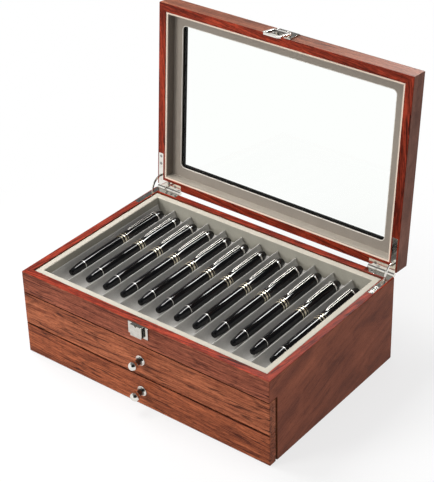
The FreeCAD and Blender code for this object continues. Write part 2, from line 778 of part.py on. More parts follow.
def knob(tier, level):
    """A ball on a domed flange, and the screw that holds it from inside the drawer."""
    name = f"{tier}_knob"
    screw_name = f"{tier}_knob_screw"
    face = "-half_depth"
    inside = place("0", "front_back", level, TO_FRONT)
    shank_length = "front_thickness + knob_screw_depth"
    shank = cylinder(screw_name + "_shank", "knob_screw_radius", shank_length, inside)
    head_at = place("0", "front_back + knob_screw_head_height", level, TO_FRONT)
    head = cylinder(screw_name + "_head", "knob_screw_head_radius", "knob_screw_head_height", head_at)
    screw = node(fuse(screw_name, [shank, head]), screw_name)
    outside = place("0", face, level, TO_FRONT)
    rim = cylinder(name + "_rim", "knob_flange_radius", "knob_flange_thickness", outside)
    dome_at = place("0", f"{face} - knob_flange_thickness", level, TO_FRONT)
    dome = cone(name + "_dome", "knob_flange_radius", "knob_neck_radius", "knob_dome_height", dome_at)
    neck = cylinder(name + "_neck", "knob_neck_radius", "knob_ball_reach", outside)
    ball = doc.addObject("Part::Sphere", name + "_ball")
    bind(ball, Radius="knob_ball_radius", Placement=place("0", f"{face} - knob_ball_reach", level))
    node(cut(name, fuse(name + "_blank", [rim, dome, neck, ball]), [screw]), name)
    return screw


# ---------------------------------------------------------------- pens

def pen(number):
    """A capped pen lying in its groove, tail to the front."""
    label = f"pen_{number:02d}"
    x = f"({number} - 0.5) * groove_pitch - cavity_width"

    def lying(y):
        return place(x, y, "pen_axis", ALONG_Y)

    tail_at = lying("pen_tail")
    tail = cone(label + "_tail", "pen_tail_radius", "pen_waist_radius", "pen_tail_length", tail_at)
    body_length = "pen_length - pen_tail_length - pen_cap_length"
    body_at = lying("pen_tail + pen_tail_length")
    grip = cone(label + "_grip", "pen_waist_radius", "pen_barrel_radius", body_length, body_at)
    barrel = fuse(label + "_barrel", [tail, grip])
    sleeve_length = "pen_cap_length - pen_dome_length"
    sleeve = cylinder(label + "_sleeve", "pen_cap_radius", sleeve_length, lying("pen_cap_start"))
    dome = doc.addObject("Part::Ellipsoid", label + "_dome")
    bind(dome, Radius1="pen_dome_length", Radius2="pen_cap_radius", Angle1="0")
    bind(dome, Placement=lying("pen_dome_start"))
    cap = fuse(label + "_cap", [sleeve, dome])
    half_clip = "clip_width / 2"
    clip_x = (f"{x} - {half_clip}", f"{x} + {half_clip}")
    clip_y = ("pen_dome_start - clip_length", "pen_dome_start")
    arm = box(label + "_clip_arm", clip_x, clip_y, ("clip_low", "clip_low + clip_thickness"))
    root_y = ("pen_dome_start - clip_root", "pen_dome_start")
    root = box(label + "_clip_root", clip_x, root_y, ("pen_axis", "clip_low"))
    clip = cut(label + "_clip", fuse(label + "_clip_blank", [arm, root]), [cap])
    node(group(label, [barrel, cap, clip]), label)


# ---------------------------------------------------------------- build and write

hinge_tools = hinges()
hinge_stays()
case(hinge_tools["base"])
tray_lining()
lid(hinge_tools["lid"])
hasp_ring()
drawer("upper", "upper_front_low", "upper_front_top", "divider_top", "apron_low")
drawer("lower", "lower_front_low", "lower_front_top", "panel_thickness", "divider_low")
for pen_number in range(1, int(value("groove_count")) + 1):
    pen(pen_number)
doc.recompute()

failed = [item.Name for item in doc.Objects if {"Invalid", "Error"} & set(item.State)]
for item in nodes:
    if item.Shape.isNull() or not item.Shape.isValid() or not item.Shape.Solids:
        failed.append(item.Label)
if failed:
    raise RuntimeError("these did not build: " + ", ".join(failed))
os.makedirs("parts", exist_ok=True)
for item in nodes:
    item.Shape.exportStep(f"parts/{item.Label}.step")
    print(f"{item.Label}: {len(item.Shape.Solids)} solids, {item.Shape.Volume:.1f} mm3")
print(len(nodes), "nodes")
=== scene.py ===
import json
import math

import bmesh
import bpy
from mathutils import Matrix, Vector, noise


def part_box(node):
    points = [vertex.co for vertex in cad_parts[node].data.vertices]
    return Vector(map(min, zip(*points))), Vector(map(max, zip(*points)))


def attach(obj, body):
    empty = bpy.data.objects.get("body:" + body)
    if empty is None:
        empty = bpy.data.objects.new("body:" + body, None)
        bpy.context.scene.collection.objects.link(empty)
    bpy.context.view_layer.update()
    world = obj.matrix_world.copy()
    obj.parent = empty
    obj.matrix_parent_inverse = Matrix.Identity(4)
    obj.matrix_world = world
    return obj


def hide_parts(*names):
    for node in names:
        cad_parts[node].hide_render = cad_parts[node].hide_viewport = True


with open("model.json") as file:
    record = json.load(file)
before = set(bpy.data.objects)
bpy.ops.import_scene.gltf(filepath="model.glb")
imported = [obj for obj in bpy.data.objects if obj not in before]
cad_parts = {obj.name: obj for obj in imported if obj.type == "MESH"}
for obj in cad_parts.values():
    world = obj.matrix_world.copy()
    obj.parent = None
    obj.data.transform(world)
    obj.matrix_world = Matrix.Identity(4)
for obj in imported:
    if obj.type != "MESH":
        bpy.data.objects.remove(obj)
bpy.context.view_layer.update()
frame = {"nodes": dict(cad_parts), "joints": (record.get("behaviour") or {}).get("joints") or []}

NODES = frame["nodes"]
JOINTS = {joint["name"]: joint for joint in frame["joints"]}
MM = 0.001

# -------- driving sizes
WELD = 0.002 * MM              # corners nearer than this are one corner
HAIR = 0.01 * MM               # how far a trimming form stands off the faces it leaves alone
SMOOTH_ANGLE = math.radians(32)                  # turns sharper than this stay crisp,
KNOB_ANGLE = math.radians(40)                    # than this on a knob,
PEN_ANGLE = math.radians(48)                     # this on a pen
BED_ANGLE = math.radians(50)                     # and this on a velvet bed
BROKEN_ANGLE = math.radians(40)                  # metal edges sharper than this are broken
SQUARE_ON, MAINLY, HARDLY = 0.9, 0.6, 0.3        # how much of a face's normal lies along an axis

WOOD_EASE = 0.9 * MM           # rounding of the assembled case's and lid's outer edges
INNER_EASE = 0.4 * MM          # rounding of the edges next to the cloth and the drawers
METAL_EASE = 0.22 * MM         # rounding of stamped and cast metal
CLOTH_EASE = 1.1 * MM          # rounding of a board wrapped in cloth

PEN_COUNT = 12
GROOVE_DEPTH = 10.5 * MM
GROOVE_SKIN = 1.5 * MM
RIDGE_WIDTH = 0.8 * MM
GROOVE_STEPS = 22              # divisions of one groove's arc
RIDGE_STEPS = 6                # divisions of one ridge's round
BED_ROWS = 44                  # divisions of a bed from front to back
BED_END_ROUND = 0.7 * MM
CLOTH_WAVE = 0.10 * MM         # how far the cloth dips over its board
CLOTH_WAVES = (60, 45)         # how close its dips lie, across and along the bed, per metre

PEN_SEGMENTS = 48
PEN_CAP_RADIUS = 6.0 * MM
CLIP_RAIL = 0.36               # radius of the rails along a pen's clip, in mm
CLIP_RAIL_STEPS = 9            # divisions of a rail's round
KNOB_SEGMENTS = 56

LINER_ROUND = 1.9 * MM         # the lid lining's turn from its face to its edge
HALF_LINER = 1.5 * MM          # half the thickness of its boards, or a little less
BEZEL_ROUND = 0.7 * MM
BEAD_RADIUS = 0.45 * MM        # light bead round the lid's window
BEAD_INSET = 0.2 * MM
BEAD_RISE = 0.5 * MM
BEAD_SEGMENTS = 8
WINDOW_HALF = Vector((127.6 * MM, 79.6 * MM))     # from the window's middle to its sides
WINDOW_CORNER = 5.0 * MM
CORNER_STEPS = 6               # divisions of each corner's arc


# -------- places, from the frame
def turn_about(point, angle):
    """The turn that opens the lid by this angle about a line along X through the point."""
    turn = Matrix.Rotation(angle, 4, Vector((-1, 0, 0)))
    return Matrix.Translation(point) @ turn @ Matrix.Translation(-point)


def box_of(points):
    """The lowest and highest corner of some points."""
    points = list(points)
    low = Vector(min(point[axis] for point in points) for axis in range(3))
    high = Vector(max(point[axis] for point in points) for axis in range(3))
    return low, high


def box_in(place, *nodes):
    """The box of some CAD nodes after a change of place."""
    return box_of(place @ vertex.co for name in nodes for vertex in NODES[name].data.vertices)


HINGE_POINT = Vector(JOINTS["lid_hinge"]["pos_m"])
OPEN_ANGLE = math.radians(-JOINTS["lid_hinge"]["range_deg"][0])
AT_REST = Matrix.Identity(4)
OPENED = turn_about(HINGE_POINT, OPEN_ANGLE)      # from the shut lid's place to the open one
SHUT = OPENED.inverted()                          # and back

CASE_BOARDS = ("left_side_panel", "right_side_panel", "back_panel", "front_apron")
LID_RAILS = ("lid_front_rail", "lid_right_rail", "lid_back_rail", "lid_left_rail")
TRAY_LINERS = ("tray_liner_front", "tray_liner_right", "tray_liner_back", "tray_liner_left")
DRAWERS = ("upper_drawer", "lower_drawer")
HANDS = ("left", "right")

CASE_LOW, CASE_HIGH = box_in(AT_REST, *CASE_BOARDS)
LID_LOW, LID_HIGH = box_in(SHUT, *LID_RAILS)
GLASS_TOP = box_in(SHUT, "lid_glass")[1].z
LID_LINER_LOW, LID_LINER_HIGH = box_in(SHUT, "lid_liner_boards")
BEZEL_FACE = box_in(SHUT, "lid_bezel")[0].z
TRAY_INNER = abs(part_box("tray_liner_left")[1].x)
GROOVE_PITCH = 2 * TRAY_INNER / PEN_COUNT


# -------- making meshes
def outward(made):
    """Turns the faces of a mesh outwards."""
    bmesh.ops.recalc_face_normals(made, faces=made.faces)


def welded(node, place=None):
    """A CAD node's solid with split corners joined and flat faces whole, after a change of place."""
    made = bmesh.new()
    made.from_mesh(NODES[node].data)
    bmesh.ops.remove_doubles(made, verts=made.verts, dist=WELD)
    bmesh.ops.dissolve_limit(made, angle_limit=math.radians(0.5), verts=made.verts, edges=made.edges)
    outward(made)
    if place is not None:
        bmesh.ops.transform(made, matrix=place, verts=made.verts)
    return made


def as_mesh(made, name):
    """The mesh of a finished bmesh, which is freed."""
    mesh = bpy.data.meshes.new(name)
    made.to_mesh(mesh)
    made.free()
    return mesh


def block(low, high):
    """A plain six-sided solid, to be eased, cut or used as a cutter."""
    made = bmesh.new()
    bmesh.ops.create_cube(made, size=1)
    for vertex in made.verts:
        for axis in range(3):
            vertex.co[axis] = high[axis] if vertex.co[axis] > 0 else low[axis]
    return made


def eased(made, edges, width, steps):
    """Rounds the given edges of a mesh."""
    bmesh.ops.bevel(
        made, geom=list(edges), offset=width, offset_type="OFFSET", segments=steps,
        profile=0.5, affect="EDGES", clamp_overlap=True,
    )
    return made


def in_scene(name, data):
    """An object of some mesh, lamp or camera, put in the scene."""
    holder = bpy.data.objects.new(name, data)
    bpy.context.scene.collection.objects.link(holder)
    return holder


def after(mesh, *modifiers):
    """A mesh as it comes out of some modifiers, each given as (kind, settings)."""
    holder = in_scene("holder", mesh)
    for kind, settings in modifiers:
        modifier = holder.modifiers.new(kind.lower(), kind)
        for key, value in settings.items():
            setattr(modifier, key, value)
    evaluated = holder.evaluated_get(bpy.context.evaluated_depsgraph_get())
    result = bpy.data.meshes.new_from_object(evaluated)
    result.name = mesh.name
    bpy.data.objects.remove(holder)
    return result


def combined(mesh, form, operation):
    """One closed mesh cut by, or kept inside, another."""
    tool = in_scene("form", form)
    result = after(mesh, ("BOOLEAN", {"operation": operation, "solver": "EXACT", "object": tool}))
    bpy.data.objects.remove(tool)
    return result


def smoothed(mesh):
    """Smooth shading that keeps flat faces flat and corners crisp."""
    mesh.shade_smooth()
    mesh.set_sharp_from_angle(angle=SMOOTH_ANGLE)
    return after(mesh, ("WEIGHTED_NORMAL", {"keep_sharp": True, "weight": 80}))


def dressed(mesh, finishes, choose=None):
    """Gives a mesh its finishes. choose(face) names the one that a face takes, and else it's the first."""
    mesh.materials.clear()
    for finish in finishes:
        mesh.materials.append(finish)
    for face in mesh.polygons:
        face.material_index = finishes.index(choose(face)) if choose else 0
    return mesh


def fitted(name, mesh, body, slot, *nodes, place=None):
    """Puts a piece in the scene, on its body, and in the stead of the CAD nodes that it replaces."""
    piece = in_scene(name, mesh)
    if place is not None:
        piece.location = place
        bpy.context.view_layer.update()
    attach(piece, body)
    if nodes:
        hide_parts(*nodes)
    return piece


def finish_node(node, finish):
    """Gives a CAD node that stays a better finish."""
    mesh = NODES[node].data
    mesh.materials.clear()
    mesh.materials.append(finish)


def bridged(made, near, far):
    """The faces between two rings of corners. Corners that coincide are taken once."""
    faces = []
    for step in range(len(near)):
        after_step = (step + 1) % len(near)
        corners = (near[step], near[after_step], far[after_step], far[step])
        faces.append(made.faces.new(list(dict.fromkeys(corners))))
    return faces


def lathe(profile, segments):
    """A turned solid round the Y axis, from (place along Y, radius, index of the finish up to here)."""
    made = bmesh.new()
    rings = []
    for place, radius, _ in profile:
        if radius == 0:
            rings.append([made.verts.new((0, place, 0))] * segments)
            continue
        turns = [2 * math.pi * step / segments for step in range(segments)]
        rings.append([made.verts.new((radius * math.cos(t), place, radius * math.sin(t))) for t in turns])
    for index in range(1, len(rings)):
        for face in bridged(made, rings[index - 1], rings[index]):
            face.material_index = profile[index][2]
            face.smooth = True
    outward(made)
    return made


def arc(centre, radius, start, end, steps):
    """Points (place, radius) on a quarter or other part of a circle, for a lathe profile."""
    angles = [start + (end - start) * step / steps for step in range(steps + 1)]
    return [(centre[0] + radius * math.cos(a), centre[1] + radius * math.sin(a)) for a in angles]


def corners_of(items):
    """The corners among the corners, edges and faces that an extrusion gives."""
    return [item for item in items if isinstance(item, bmesh.types.BMVert)]


def joined(*parts):
    """Several meshes as one."""
    made = bmesh.new()
    for part in parts:
        mesh = as_mesh(part, "part")
        made.from_mesh(mesh)
        bpy.data.meshes.remove(mesh)
    return made


# -------- shader nodes
def paint(red, green, blue):
    """A colour as it is mixed on screen, from 0 to 255, as the shader takes it."""
    parts = [value / 255 for value in (red, green, blue)]
    linear = [part / 12.92 if part <= 0.04045 else ((part + 0.055) / 1.055) ** 2.4 for part in parts]
    return (*linear, 1)


class Graph:
    """Adds shader nodes to one tree and joins them up."""

    def __init__(self, tree):
        self.tree = tree

    def feed(self, socket, value):
        if isinstance(value, bpy.types.NodeSocket):
            self.tree.links.new(value, socket)
        else:
            socket.default_value = value

    def node(self, kind, settings=(), inputs=()):
        """A shader node of one kind, with its settings and what its inputs get."""
        made = self.tree.nodes.new("ShaderNode" + kind)
        for key, value in dict(settings).items():
            setattr(made, key, value)
        for key, value in dict(inputs).items():
            self.feed(made.inputs[key], value)
        return made

    def number(self, operation, *values):
        """Arithmetic on numbers."""
        return self.node("Math", {"operation": operation}, enumerate(values)).outputs[0]

    def times(self, first, second):
        return self.number("MULTIPLY", first, second)

    def times_plus(self, first, second, third):
        return self.number("MULTIPLY_ADD", first, second, third)

    def cloud(self, place, scale, detail=2.0, roughness=0.5, twist=0.0):
        """Noise from 0 to 1, even about a half, with its own scale along each axis."""
        scaled = self.node("VectorMath", {"operation": "MULTIPLY"}, {0: place, 1: scale})
        look = {"Scale": 1.0, "Detail": detail, "Roughness": roughness, "Distortion": twist}
        return self.node("TexNoise", {}, {"Vector": scaled.outputs[0], **look}).outputs["Fac"]

    def swing(self, *settings):
        """The same noise, to either side of nothing."""
        return self.number("SUBTRACT", self.cloud(*settings), 0.5)

    def spread(self, value, low, high, to_low=0.0, to_high=1.0):
        """A number moved from one span to another, held at its ends."""
        spans = {"Value": value, "From Min": low, "From Max": high, "To Min": to_low, "To Max": to_high}
        settings = {"clamp": True, "interpolation_type": "SMOOTHSTEP"}
        return self.node("MapRange", settings, spans).outputs["Result"]

    def blend(self, share, first, second):
        """Two colours mixed."""
        settings = {"data_type": "RGBA", "clamp_factor": True}
        return self.node("Mix", settings, {0: share, 6: first, 7: second}).outputs[2]


SURFACE = (("Color", "Color"), ("Roughness", "Float"), ("Height", "Float"))


def new_group(name, colours, numbers):
    """An empty node group: its graph, its inputs and its output node.

    It takes a place, some colours and some numbers with their usual values, and gives out a surface.
    """
    tree = bpy.data.node_groups.new(name, "ShaderNodeTree")
    sockets = [("Place", "Vector")]
    sockets += [(colour, "Color") for colour in colours]
    sockets += [(number, "Float") for number in numbers]
    for socket, kind in sockets:
        made = tree.interface.new_socket(name=socket, in_out="INPUT", socket_type="NodeSocket" + kind)
        if kind == "Float":
            made.default_value = numbers[socket]
    for socket, kind in SURFACE:
        tree.interface.new_socket(name=socket, in_out="OUTPUT", socket_type="NodeSocket" + kind)
    graph = Graph(tree)
    return graph, tree.nodes.new("NodeGroupInput").outputs, tree.nodes.new("NodeGroupOutput")


def finished_group(graph, leave, *values):
    """Feeds a group's outputs, in the order of SURFACE, and gives the group."""
    for (socket, _), value in zip(SURFACE, values):
        graph.feed(leave.inputs[socket], value)
    return graph.tree


def wood_grain_group():
    """Veneer and solid wood. X of Place runs along the grain and Y across it, in metres."""
    numbers = {"Streaks": 0.9, "Flecks": 0.36, "Veins": 0.6, "Figure": 0.0, "Sway": 11.0, "Mottle": 0.3}
    numbers["Gloss"] = 0.40
    graph, given, leave = new_group("wood_grain", ("Light", "Dark", "Vein"), numbers)
    place = given["Place"]
    drift = graph.swing(place, (9, 30, 30), 3.0, 0.55)
    split = graph.node("SeparateXYZ", {}, {0: place}).outputs
    across = graph.times_plus(drift, graph.times(given["Sway"], MM), split["Y"])
    bent = graph.node("CombineXYZ", {}, {0: split["X"], 1: across, 2: split["Z"]}).outputs[0]

    broad = graph.swing(bent, (5, 95, 60), 3.0)
    streak = graph.swing(bent, (16, 480, 200), 4.0, 0.72)
    fibre = graph.swing(bent, (90, 1500, 700), 3.0, 0.6)
    blotch = graph.swing(place, (24, 42, 30), 4.0, 0.6, 0.6)
    tone = graph.times_plus(broad, 1.2, 0.5)
    tone = graph.times_plus(streak, graph.times(given["Streaks"], 2.6), tone)
    tone = graph.times_plus(fibre, graph.times(given["Streaks"], 1.4), tone)
    tone = graph.times_plus(blotch, given["Mottle"], tone)
    wood = graph.blend(tone, given["Dark"], given["Light"])

    # short dark flecks, where vessels run just under the surface
    fleck = graph.spread(graph.cloud(bent, (150, 760, 400), 1.0, 0.5), 0.54, 0.66)
    wood = graph.blend(graph.times(fleck, given["Flecks"]), wood, given["Vein"])

    # dark growth lines, broken up along their length
    line = graph.swing(bent, (5, 120, 80), 3.0, 0.55)
    line = graph.spread(graph.number("ABSOLUTE", line), 0.004, 0.020, 1.0, 0.0)
    broken = graph.spread(graph.cloud(place, (14, 60, 60), 2.0), 0.42, 0.54)
    veins = graph.times(graph.times(line, broken), given["Veins"])

    # arched figure where the knife ran out of the growth rings
    reach = graph.times(split["X"], 0.16)
    rings = graph.number("SQRT", graph.times_plus(reach, reach, graph.times(across, across)))
    rings = graph.number("SINE", graph.times(rings, 900.0))
    patch = graph.spread(graph.cloud(place, (14, 40, 40), 2.0), 0.40, 0.56)
    arched = graph.times(graph.times(graph.spread(rings, 0.80, 1.0), patch), given["Figure"])
    wood = graph.blend(graph.number("MAXIMUM", veins, arched), wood, given["Vein"])

    pores = graph.spread(graph.cloud(bent, (330, 3300, 1500), 1.0), 0.60, 0.68)
    wood = graph.blend(graph.times(pores, 0.45), wood, given["Vein"])

    rough = graph.times_plus(fibre, 0.16, given["Gloss"])
    rough = graph.times_plus(pores, 0.12, rough)
    height = graph.times_plus(streak, 0.5, fibre)
    height = graph.number("SUBTRACT", height, graph.times(graph.number("MAXIMUM", pores, fleck), 0.7))
    return finished_group(graph, leave, wood, rough, height)


def cloth_pile_group():
    """Velvet and brushed cloth: short fibres, brushed patches and a crown painted lighter, as a painted
    highlight.
    """
    numbers = {"Brushed": 0.5, "Fibres": 0.5, "Crown Highlight": 0.0}
    graph, given, leave = new_group("cloth_pile", ("Light", "Dark"), numbers)
    place = given["Place"]
    fine = graph.swing(place, (2600, 2600, 2600), 2.0, 0.7)
    tuft = graph.swing(place, (800, 600, 800), 2.0, 0.6)
    lay = graph.swing(place, (55, 24, 55), 3.0, 0.55, 0.4)
    tone = graph.times_plus(lay, given["Brushed"], 0.5)
    tone = graph.times_plus(tuft, given["Fibres"], tone)
    tone = graph.times_plus(fine, given["Fibres"], tone)
    # painted highlight on the crowns of a bed's ridges
    tone = graph.number("ADD", tone, given["Crown Highlight"])
    colour = graph.blend(tone, given["Dark"], given["Light"])
    rough = graph.times_plus(tuft, 0.2, 0.86)
    return finished_group(graph, leave, colour, rough, graph.times_plus(tuft, 0.6, fine))


def polish_group():
    """Polished metal, resin and glass: faint smudges and hairline scratches."""
    numbers = {"Base": 0.08, "Smudges": 0.1, "Scratches": 0.1}
    graph, given, leave = new_group("polish", ("Clean", "Dull"), numbers)
    place = given["Place"]
    smudge = graph.spread(graph.cloud(place, (170, 120, 170), 4.0, 0.6), 0.42, 0.72)
    hair = graph.cloud(place, (180, 5200, 5200), 1.0)
    cross = graph.cloud(place, (4600, 260, 4600), 1.0)
    scratch = graph.spread(graph.number("MAXIMUM", hair, cross), 0.66, 0.80)
    rough = graph.times_plus(smudge, given["Smudges"], given["Base"])
    rough = graph.times_plus(scratch, given["Scratches"], rough)
    dulled = graph.number("MAXIMUM", graph.times(smudge, 0.6), scratch)
    colour = graph.blend(dulled, given["Clean"], given["Dull"])
    return finished_group(graph, leave, colour, rough, graph.times(scratch, -1.0))


WOOD_GRAIN = wood_grain_group()
CLOTH_PILE = cloth_pile_group()
POLISH = polish_group()


def finish(name, group, values, shader, bump, place=None, crown_highlight=None):
    """A material whose surface comes from one of the groups. bump is (strength, depth)."""
    material = bpy.data.materials.new(name)
    material.use_nodes = True
    graph = Graph(material.node_tree)
    principled = material.node_tree.nodes["Principled BSDF"]
    point = graph.node("TexCoord").outputs["Object"]
    if place is not None:
        change = {"Vector": point, "Location": place.translation, "Rotation": place.to_euler()}
        point = graph.node("Mapping", {"vector_type": "POINT"}, change).outputs[0]
    surface = graph.node("Group", {"node_tree": group}, {"Place": point, **values})
    if crown_highlight is not None:
        graph.feed(surface.inputs["Crown Highlight"], crown_highlight(graph))
    strength, depth = bump
    relief = {"Strength": strength, "Distance": depth, "Height": surface.outputs["Height"]}
    raised = graph.node("Bump", {}, relief)
    shader = {"Base Color": surface.outputs["Color"], "Roughness": surface.outputs["Roughness"], **shader}
    shader["Normal"] = raised.outputs[0]
    for key, value in shader.items():
        graph.feed(principled.inputs[key], value)
    return material


# -------- wooden finishes
def grain_place(along, across, centre, before):
    """The change of place that lays the grain along a direction and centres its figure on a point."""
    along, across = Vector(along).normalized(), Vector(across)
    across = (across - along * across.dot(along)).normalized()
    deep = along.cross(across)
    turn = Matrix((along, across, deep)).to_4x4()
    turned = turn @ Matrix.Translation(-Vector(centre))
    return turned @ before if before else turned


def wood(name, colours, along, across, centre=(0, 0, 0), before=None, **given):
    """Wood or veneer. The further values are inputs of the grain group, in small letters."""
    values = dict(zip(("Light", "Dark", "Vein"), [paint(*mix) for mix in colours]))
    values.update({key.capitalize(): value for key, value in given.items()})
    place = grain_place(along, across, centre, before)
    return finish(name, WOOD_GRAIN, values, {"Specular IOR Level": 0.08}, (0.35, 0.05 * MM), place)


X, Y, Z = Vector((1, 0, 0)), Vector((0, 1, 0)), Vector((0, 0, 1))
SIDE_GRAIN = (0, 1, 0.30)

APRON_COLOURS = ((180, 104, 78), (96, 46, 33), (46, 18, 13))
UPPER_COLOURS = ((196, 116, 80), (114, 56, 37), (52, 22, 14))
LOWER_COLOURS = ((186, 104, 68), (90, 40, 26), (44, 17, 11))
SIDE_COLOURS = ((172, 97, 70), (108, 55, 39), (64, 31, 21))
RIM_COLOURS = ((184, 67, 42), (94, 27, 18), (40, 11, 7))
LID_RIM_COLOURS = ((166, 62, 40), (86, 28, 18), (38, 12, 8))
LID_FRONT_COLOURS = ((184, 112, 82), (106, 59, 42), (56, 26, 18))
LID_SIDE_COLOURS = ((158, 106, 88), (104, 64, 51), (64, 37, 29))
PLAIN_COLOURS = ((150, 94, 64), (108, 64, 42), (80, 46, 30))

RIM_SLANT = 0.10               # how far the rims' grain runs off their edges
RIM_LOOK = {"streaks": 1.2, "flecks": 0.35, "veins": 0.8, "sway": 7.0, "mottle": 1.1, "gloss": 0.48}
SIDE_LOOK = {"streaks": 0.30, "flecks": 0.14, "veins": 0.25, "mottle": 1.7, "gloss": 0.44}
PLAIN_LOOK = {"streaks": 0.8, "veins": 0.2, "gloss": 0.55}


def rim_woods(name, colours, centre, before=None):
    """The wood of rims that run along X, and of those that run along Y."""
    along = wood(name + "_along", colours, (1, RIM_SLANT, 0), Y, (centre, 0, 0), before, **RIM_LOOK)
    across = wood(name + "_across", colours, (RIM_SLANT, 1, 0), X, (0, centre, 0), before, **RIM_LOOK)
    return along, across


APRON_VENEER = wood(
    "apron_veneer", APRON_COLOURS, (1, 0, 0.02), Z, (-0.03, 0, 0.078), veins=0.7, figure=0.3
)
UPPER_VENEER = wood(
    "upper_drawer_veneer", UPPER_COLOURS, (1, 0, 0.03), Z, (0.04, 0, 0.060), veins=0.85, figure=0.35
)
LOWER_VENEER = wood(
    "lower_drawer_veneer", LOWER_COLOURS, (1, 0, -0.02), Z, (0.3, 0, 0), streaks=1.05, veins=0.8, flecks=0.4
)
SIDE_VENEER = wood("side_veneer", SIDE_COLOURS, SIDE_GRAIN, Z, (0, 0.3, -0.1), **SIDE_LOOK)
BACK_VENEER = wood("back_veneer", SIDE_COLOURS, X, Z, (0.1, 0, 0.03), streaks=0.8, figure=0.4)
RIM_ALONG, RIM_ACROSS = rim_woods("rim", RIM_COLOURS, 0.3)
LID_RIM_ALONG, LID_RIM_ACROSS = rim_woods("lid_rim", LID_RIM_COLOURS, -0.3, SHUT)
LID_FRONT_VENEER = wood("lid_front_veneer", LID_FRONT_COLOURS, X, Z, (0.25, 0, 0.05), SHUT)
LID_SIDE_VENEER = wood("lid_side_veneer", LID_SIDE_COLOURS, Y, Z, (0, 0.3, 0.05), SHUT, **SIDE_LOOK)
LID_TOP_ALONG = wood("lid_top_along", LID_FRONT_COLOURS, X, Y, (0, 0.25, 0), SHUT)
LID_TOP_ACROSS = wood("lid_top_across", LID_FRONT_COLOURS, Y, X, (0.25, 0, 0), SHUT)
PLAIN_ALONG = wood("plain_wood_along", PLAIN_COLOURS, X, Z, **PLAIN_LOOK)
PLAIN_ACROSS = wood("plain_wood_across", PLAIN_COLOURS, Y, Z, **PLAIN_LOOK)
PLAIN_FLAT = wood("plain_board", PLAIN_COLOURS, X, Y, **PLAIN_LOOK)


# -------- cloth finishes
def sheen(weight, roughness, tint):
    """How a pile's raised fibres catch the light at a slant."""
    return {
        "Sheen Weight": weight, "Sheen Roughness": roughness, "Sheen Tint": tint, "Specular IOR Level": 0.15,
    }


VELVET_SHEEN = sheen(0.35, 0.45, paint(225, 225, 228))
CLOTH_SHEEN = sheen(0.25, 0.5, paint(235, 230, 222))


def cloth(name, light, dark, fibres, brushed=None, shader=CLOTH_SHEEN, crown_highlight=None):
    """Cloth or velvet, with its brushed patches as strong as its fibres unless it says otherwise."""
    values = {"Light": paint(*light), "Dark": paint(*dark), "Brushed": brushed or fibres, "Fibres": fibres}
    return finish(name, CLOTH_PILE, values, shader, (0.5, 0.12 * MM), None, crown_highlight)


def crown_highlight_of(bed_top):
    """How much painted highlight a bed's pile gets: only the crowns of its ridges."""
    def crown_highlight(graph):
        point = graph.node("TexCoord").outputs["Object"]
        level = graph.node("SeparateXYZ", {}, {0: point})
        return graph.spread(level.outputs["Z"], bed_top - 1.6 * MM, bed_top - 0.1 * MM, 0.0, 0.55)
    return crown_highlight


def bed_velvet(name, bed):
    crown_highlight = crown_highlight_of(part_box(bed)[1].z)
    return cloth(name, (208, 206, 201), (160, 157, 152), 0.45, 0.5, VELVET_SHEEN, crown_highlight)


LINER_CLOTH = cloth("liner_cloth", (224, 217, 202), (184, 177, 163), 0.45)
LINER_WALL_CLOTH = cloth("liner_wall_cloth", (176, 172, 159), (146, 142, 131), 0.45)
LID_CLOTH = cloth("lid_cloth", (166, 157, 146), (130, 121, 111), 0.4)
# copies of the lid's cloth with painted shade for its left board and painted light for its hinge-side board
LID_CLOTH_PAINTED_SHADE = cloth("lid_cloth_painted_shade", (124, 114, 104), (94, 85, 76), 0.4)
LID_CLOTH_PAINTED_LIGHT = cloth("lid_cloth_painted_light", (186, 177, 164), (150, 141, 129), 0.4)
LID_EDGE_CLOTH = cloth("lid_edge_cloth", (250, 232, 214), (226, 206, 186), 0.3)


# -------- metal, pen and glass finishes
def polished(name, clean, dull, shader, base=0.08, smudges=0.10, scratches=0.12, bump=0.2):
    """A smooth finish between a clean and a dull colour. base is its roughness where it is clean."""
    values = {"Clean": paint(*clean), "Dull": paint(*dull), "Base": base}
    values.update({"Smudges": smudges, "Scratches": scratches})
    return finish(name, POLISH, values, shader, (bump, 0.01 * MM))


def plain(specular):
    """A surface that isn't metal, by how much it mirrors."""
    return {"Metallic": 0.0, "Specular IOR Level": specular}


METAL = {"Metallic": 1.0}
NICKEL = polished("polished_nickel", (238, 235, 228), (214, 209, 201), METAL)
CAST_NICKEL = polished("cast_nickel", (218, 214, 206), (192, 186, 178), METAL, 0.12)
# nickel painted darker, as painted shade on the knob necks and inside the hasp ring
NICKEL_PAINTED_SHADE = polished("nickel_painted_shade", (118, 114, 109), (88, 85, 81), METAL, 0.3)
STEEL = polished("screw_steel", (190, 188, 184), (150, 148, 144), METAL, 0.2)
SILVER_TRIM = polished("pen_silver", (212, 210, 205), (196, 193, 187), METAL, 0.40, 0.04, 0.03, 0.02)
GOLD_TRIM = polished("pen_gold", (222, 213, 190), (202, 191, 164), METAL, 0.26, 0.06, 0.04, 0.05)
PEN_RESIN = polished("pen_resin", (10, 10, 12), (17, 17, 19), plain(0.28), 0.06, 0.03, 0.02, 0.03)
# dark brown painted on the chamfers by the lining and the drawers and on the boards' undersides, as painted
# shade in the seams and under the boards
SEAM_SHADE = polished("painted_seam_shade", (30, 12, 8), (46, 20, 13), plain(0.05), 0.7)
# black on the lid rails' sides above the glass
WINDOW_BLACK = polished("window_black", (18, 17, 16), (26, 24, 23), plain(0.1), 0.7)
BEAD = polished("window_bead", (226, 220, 210), (200, 192, 182), plain(0.5), 0.3)


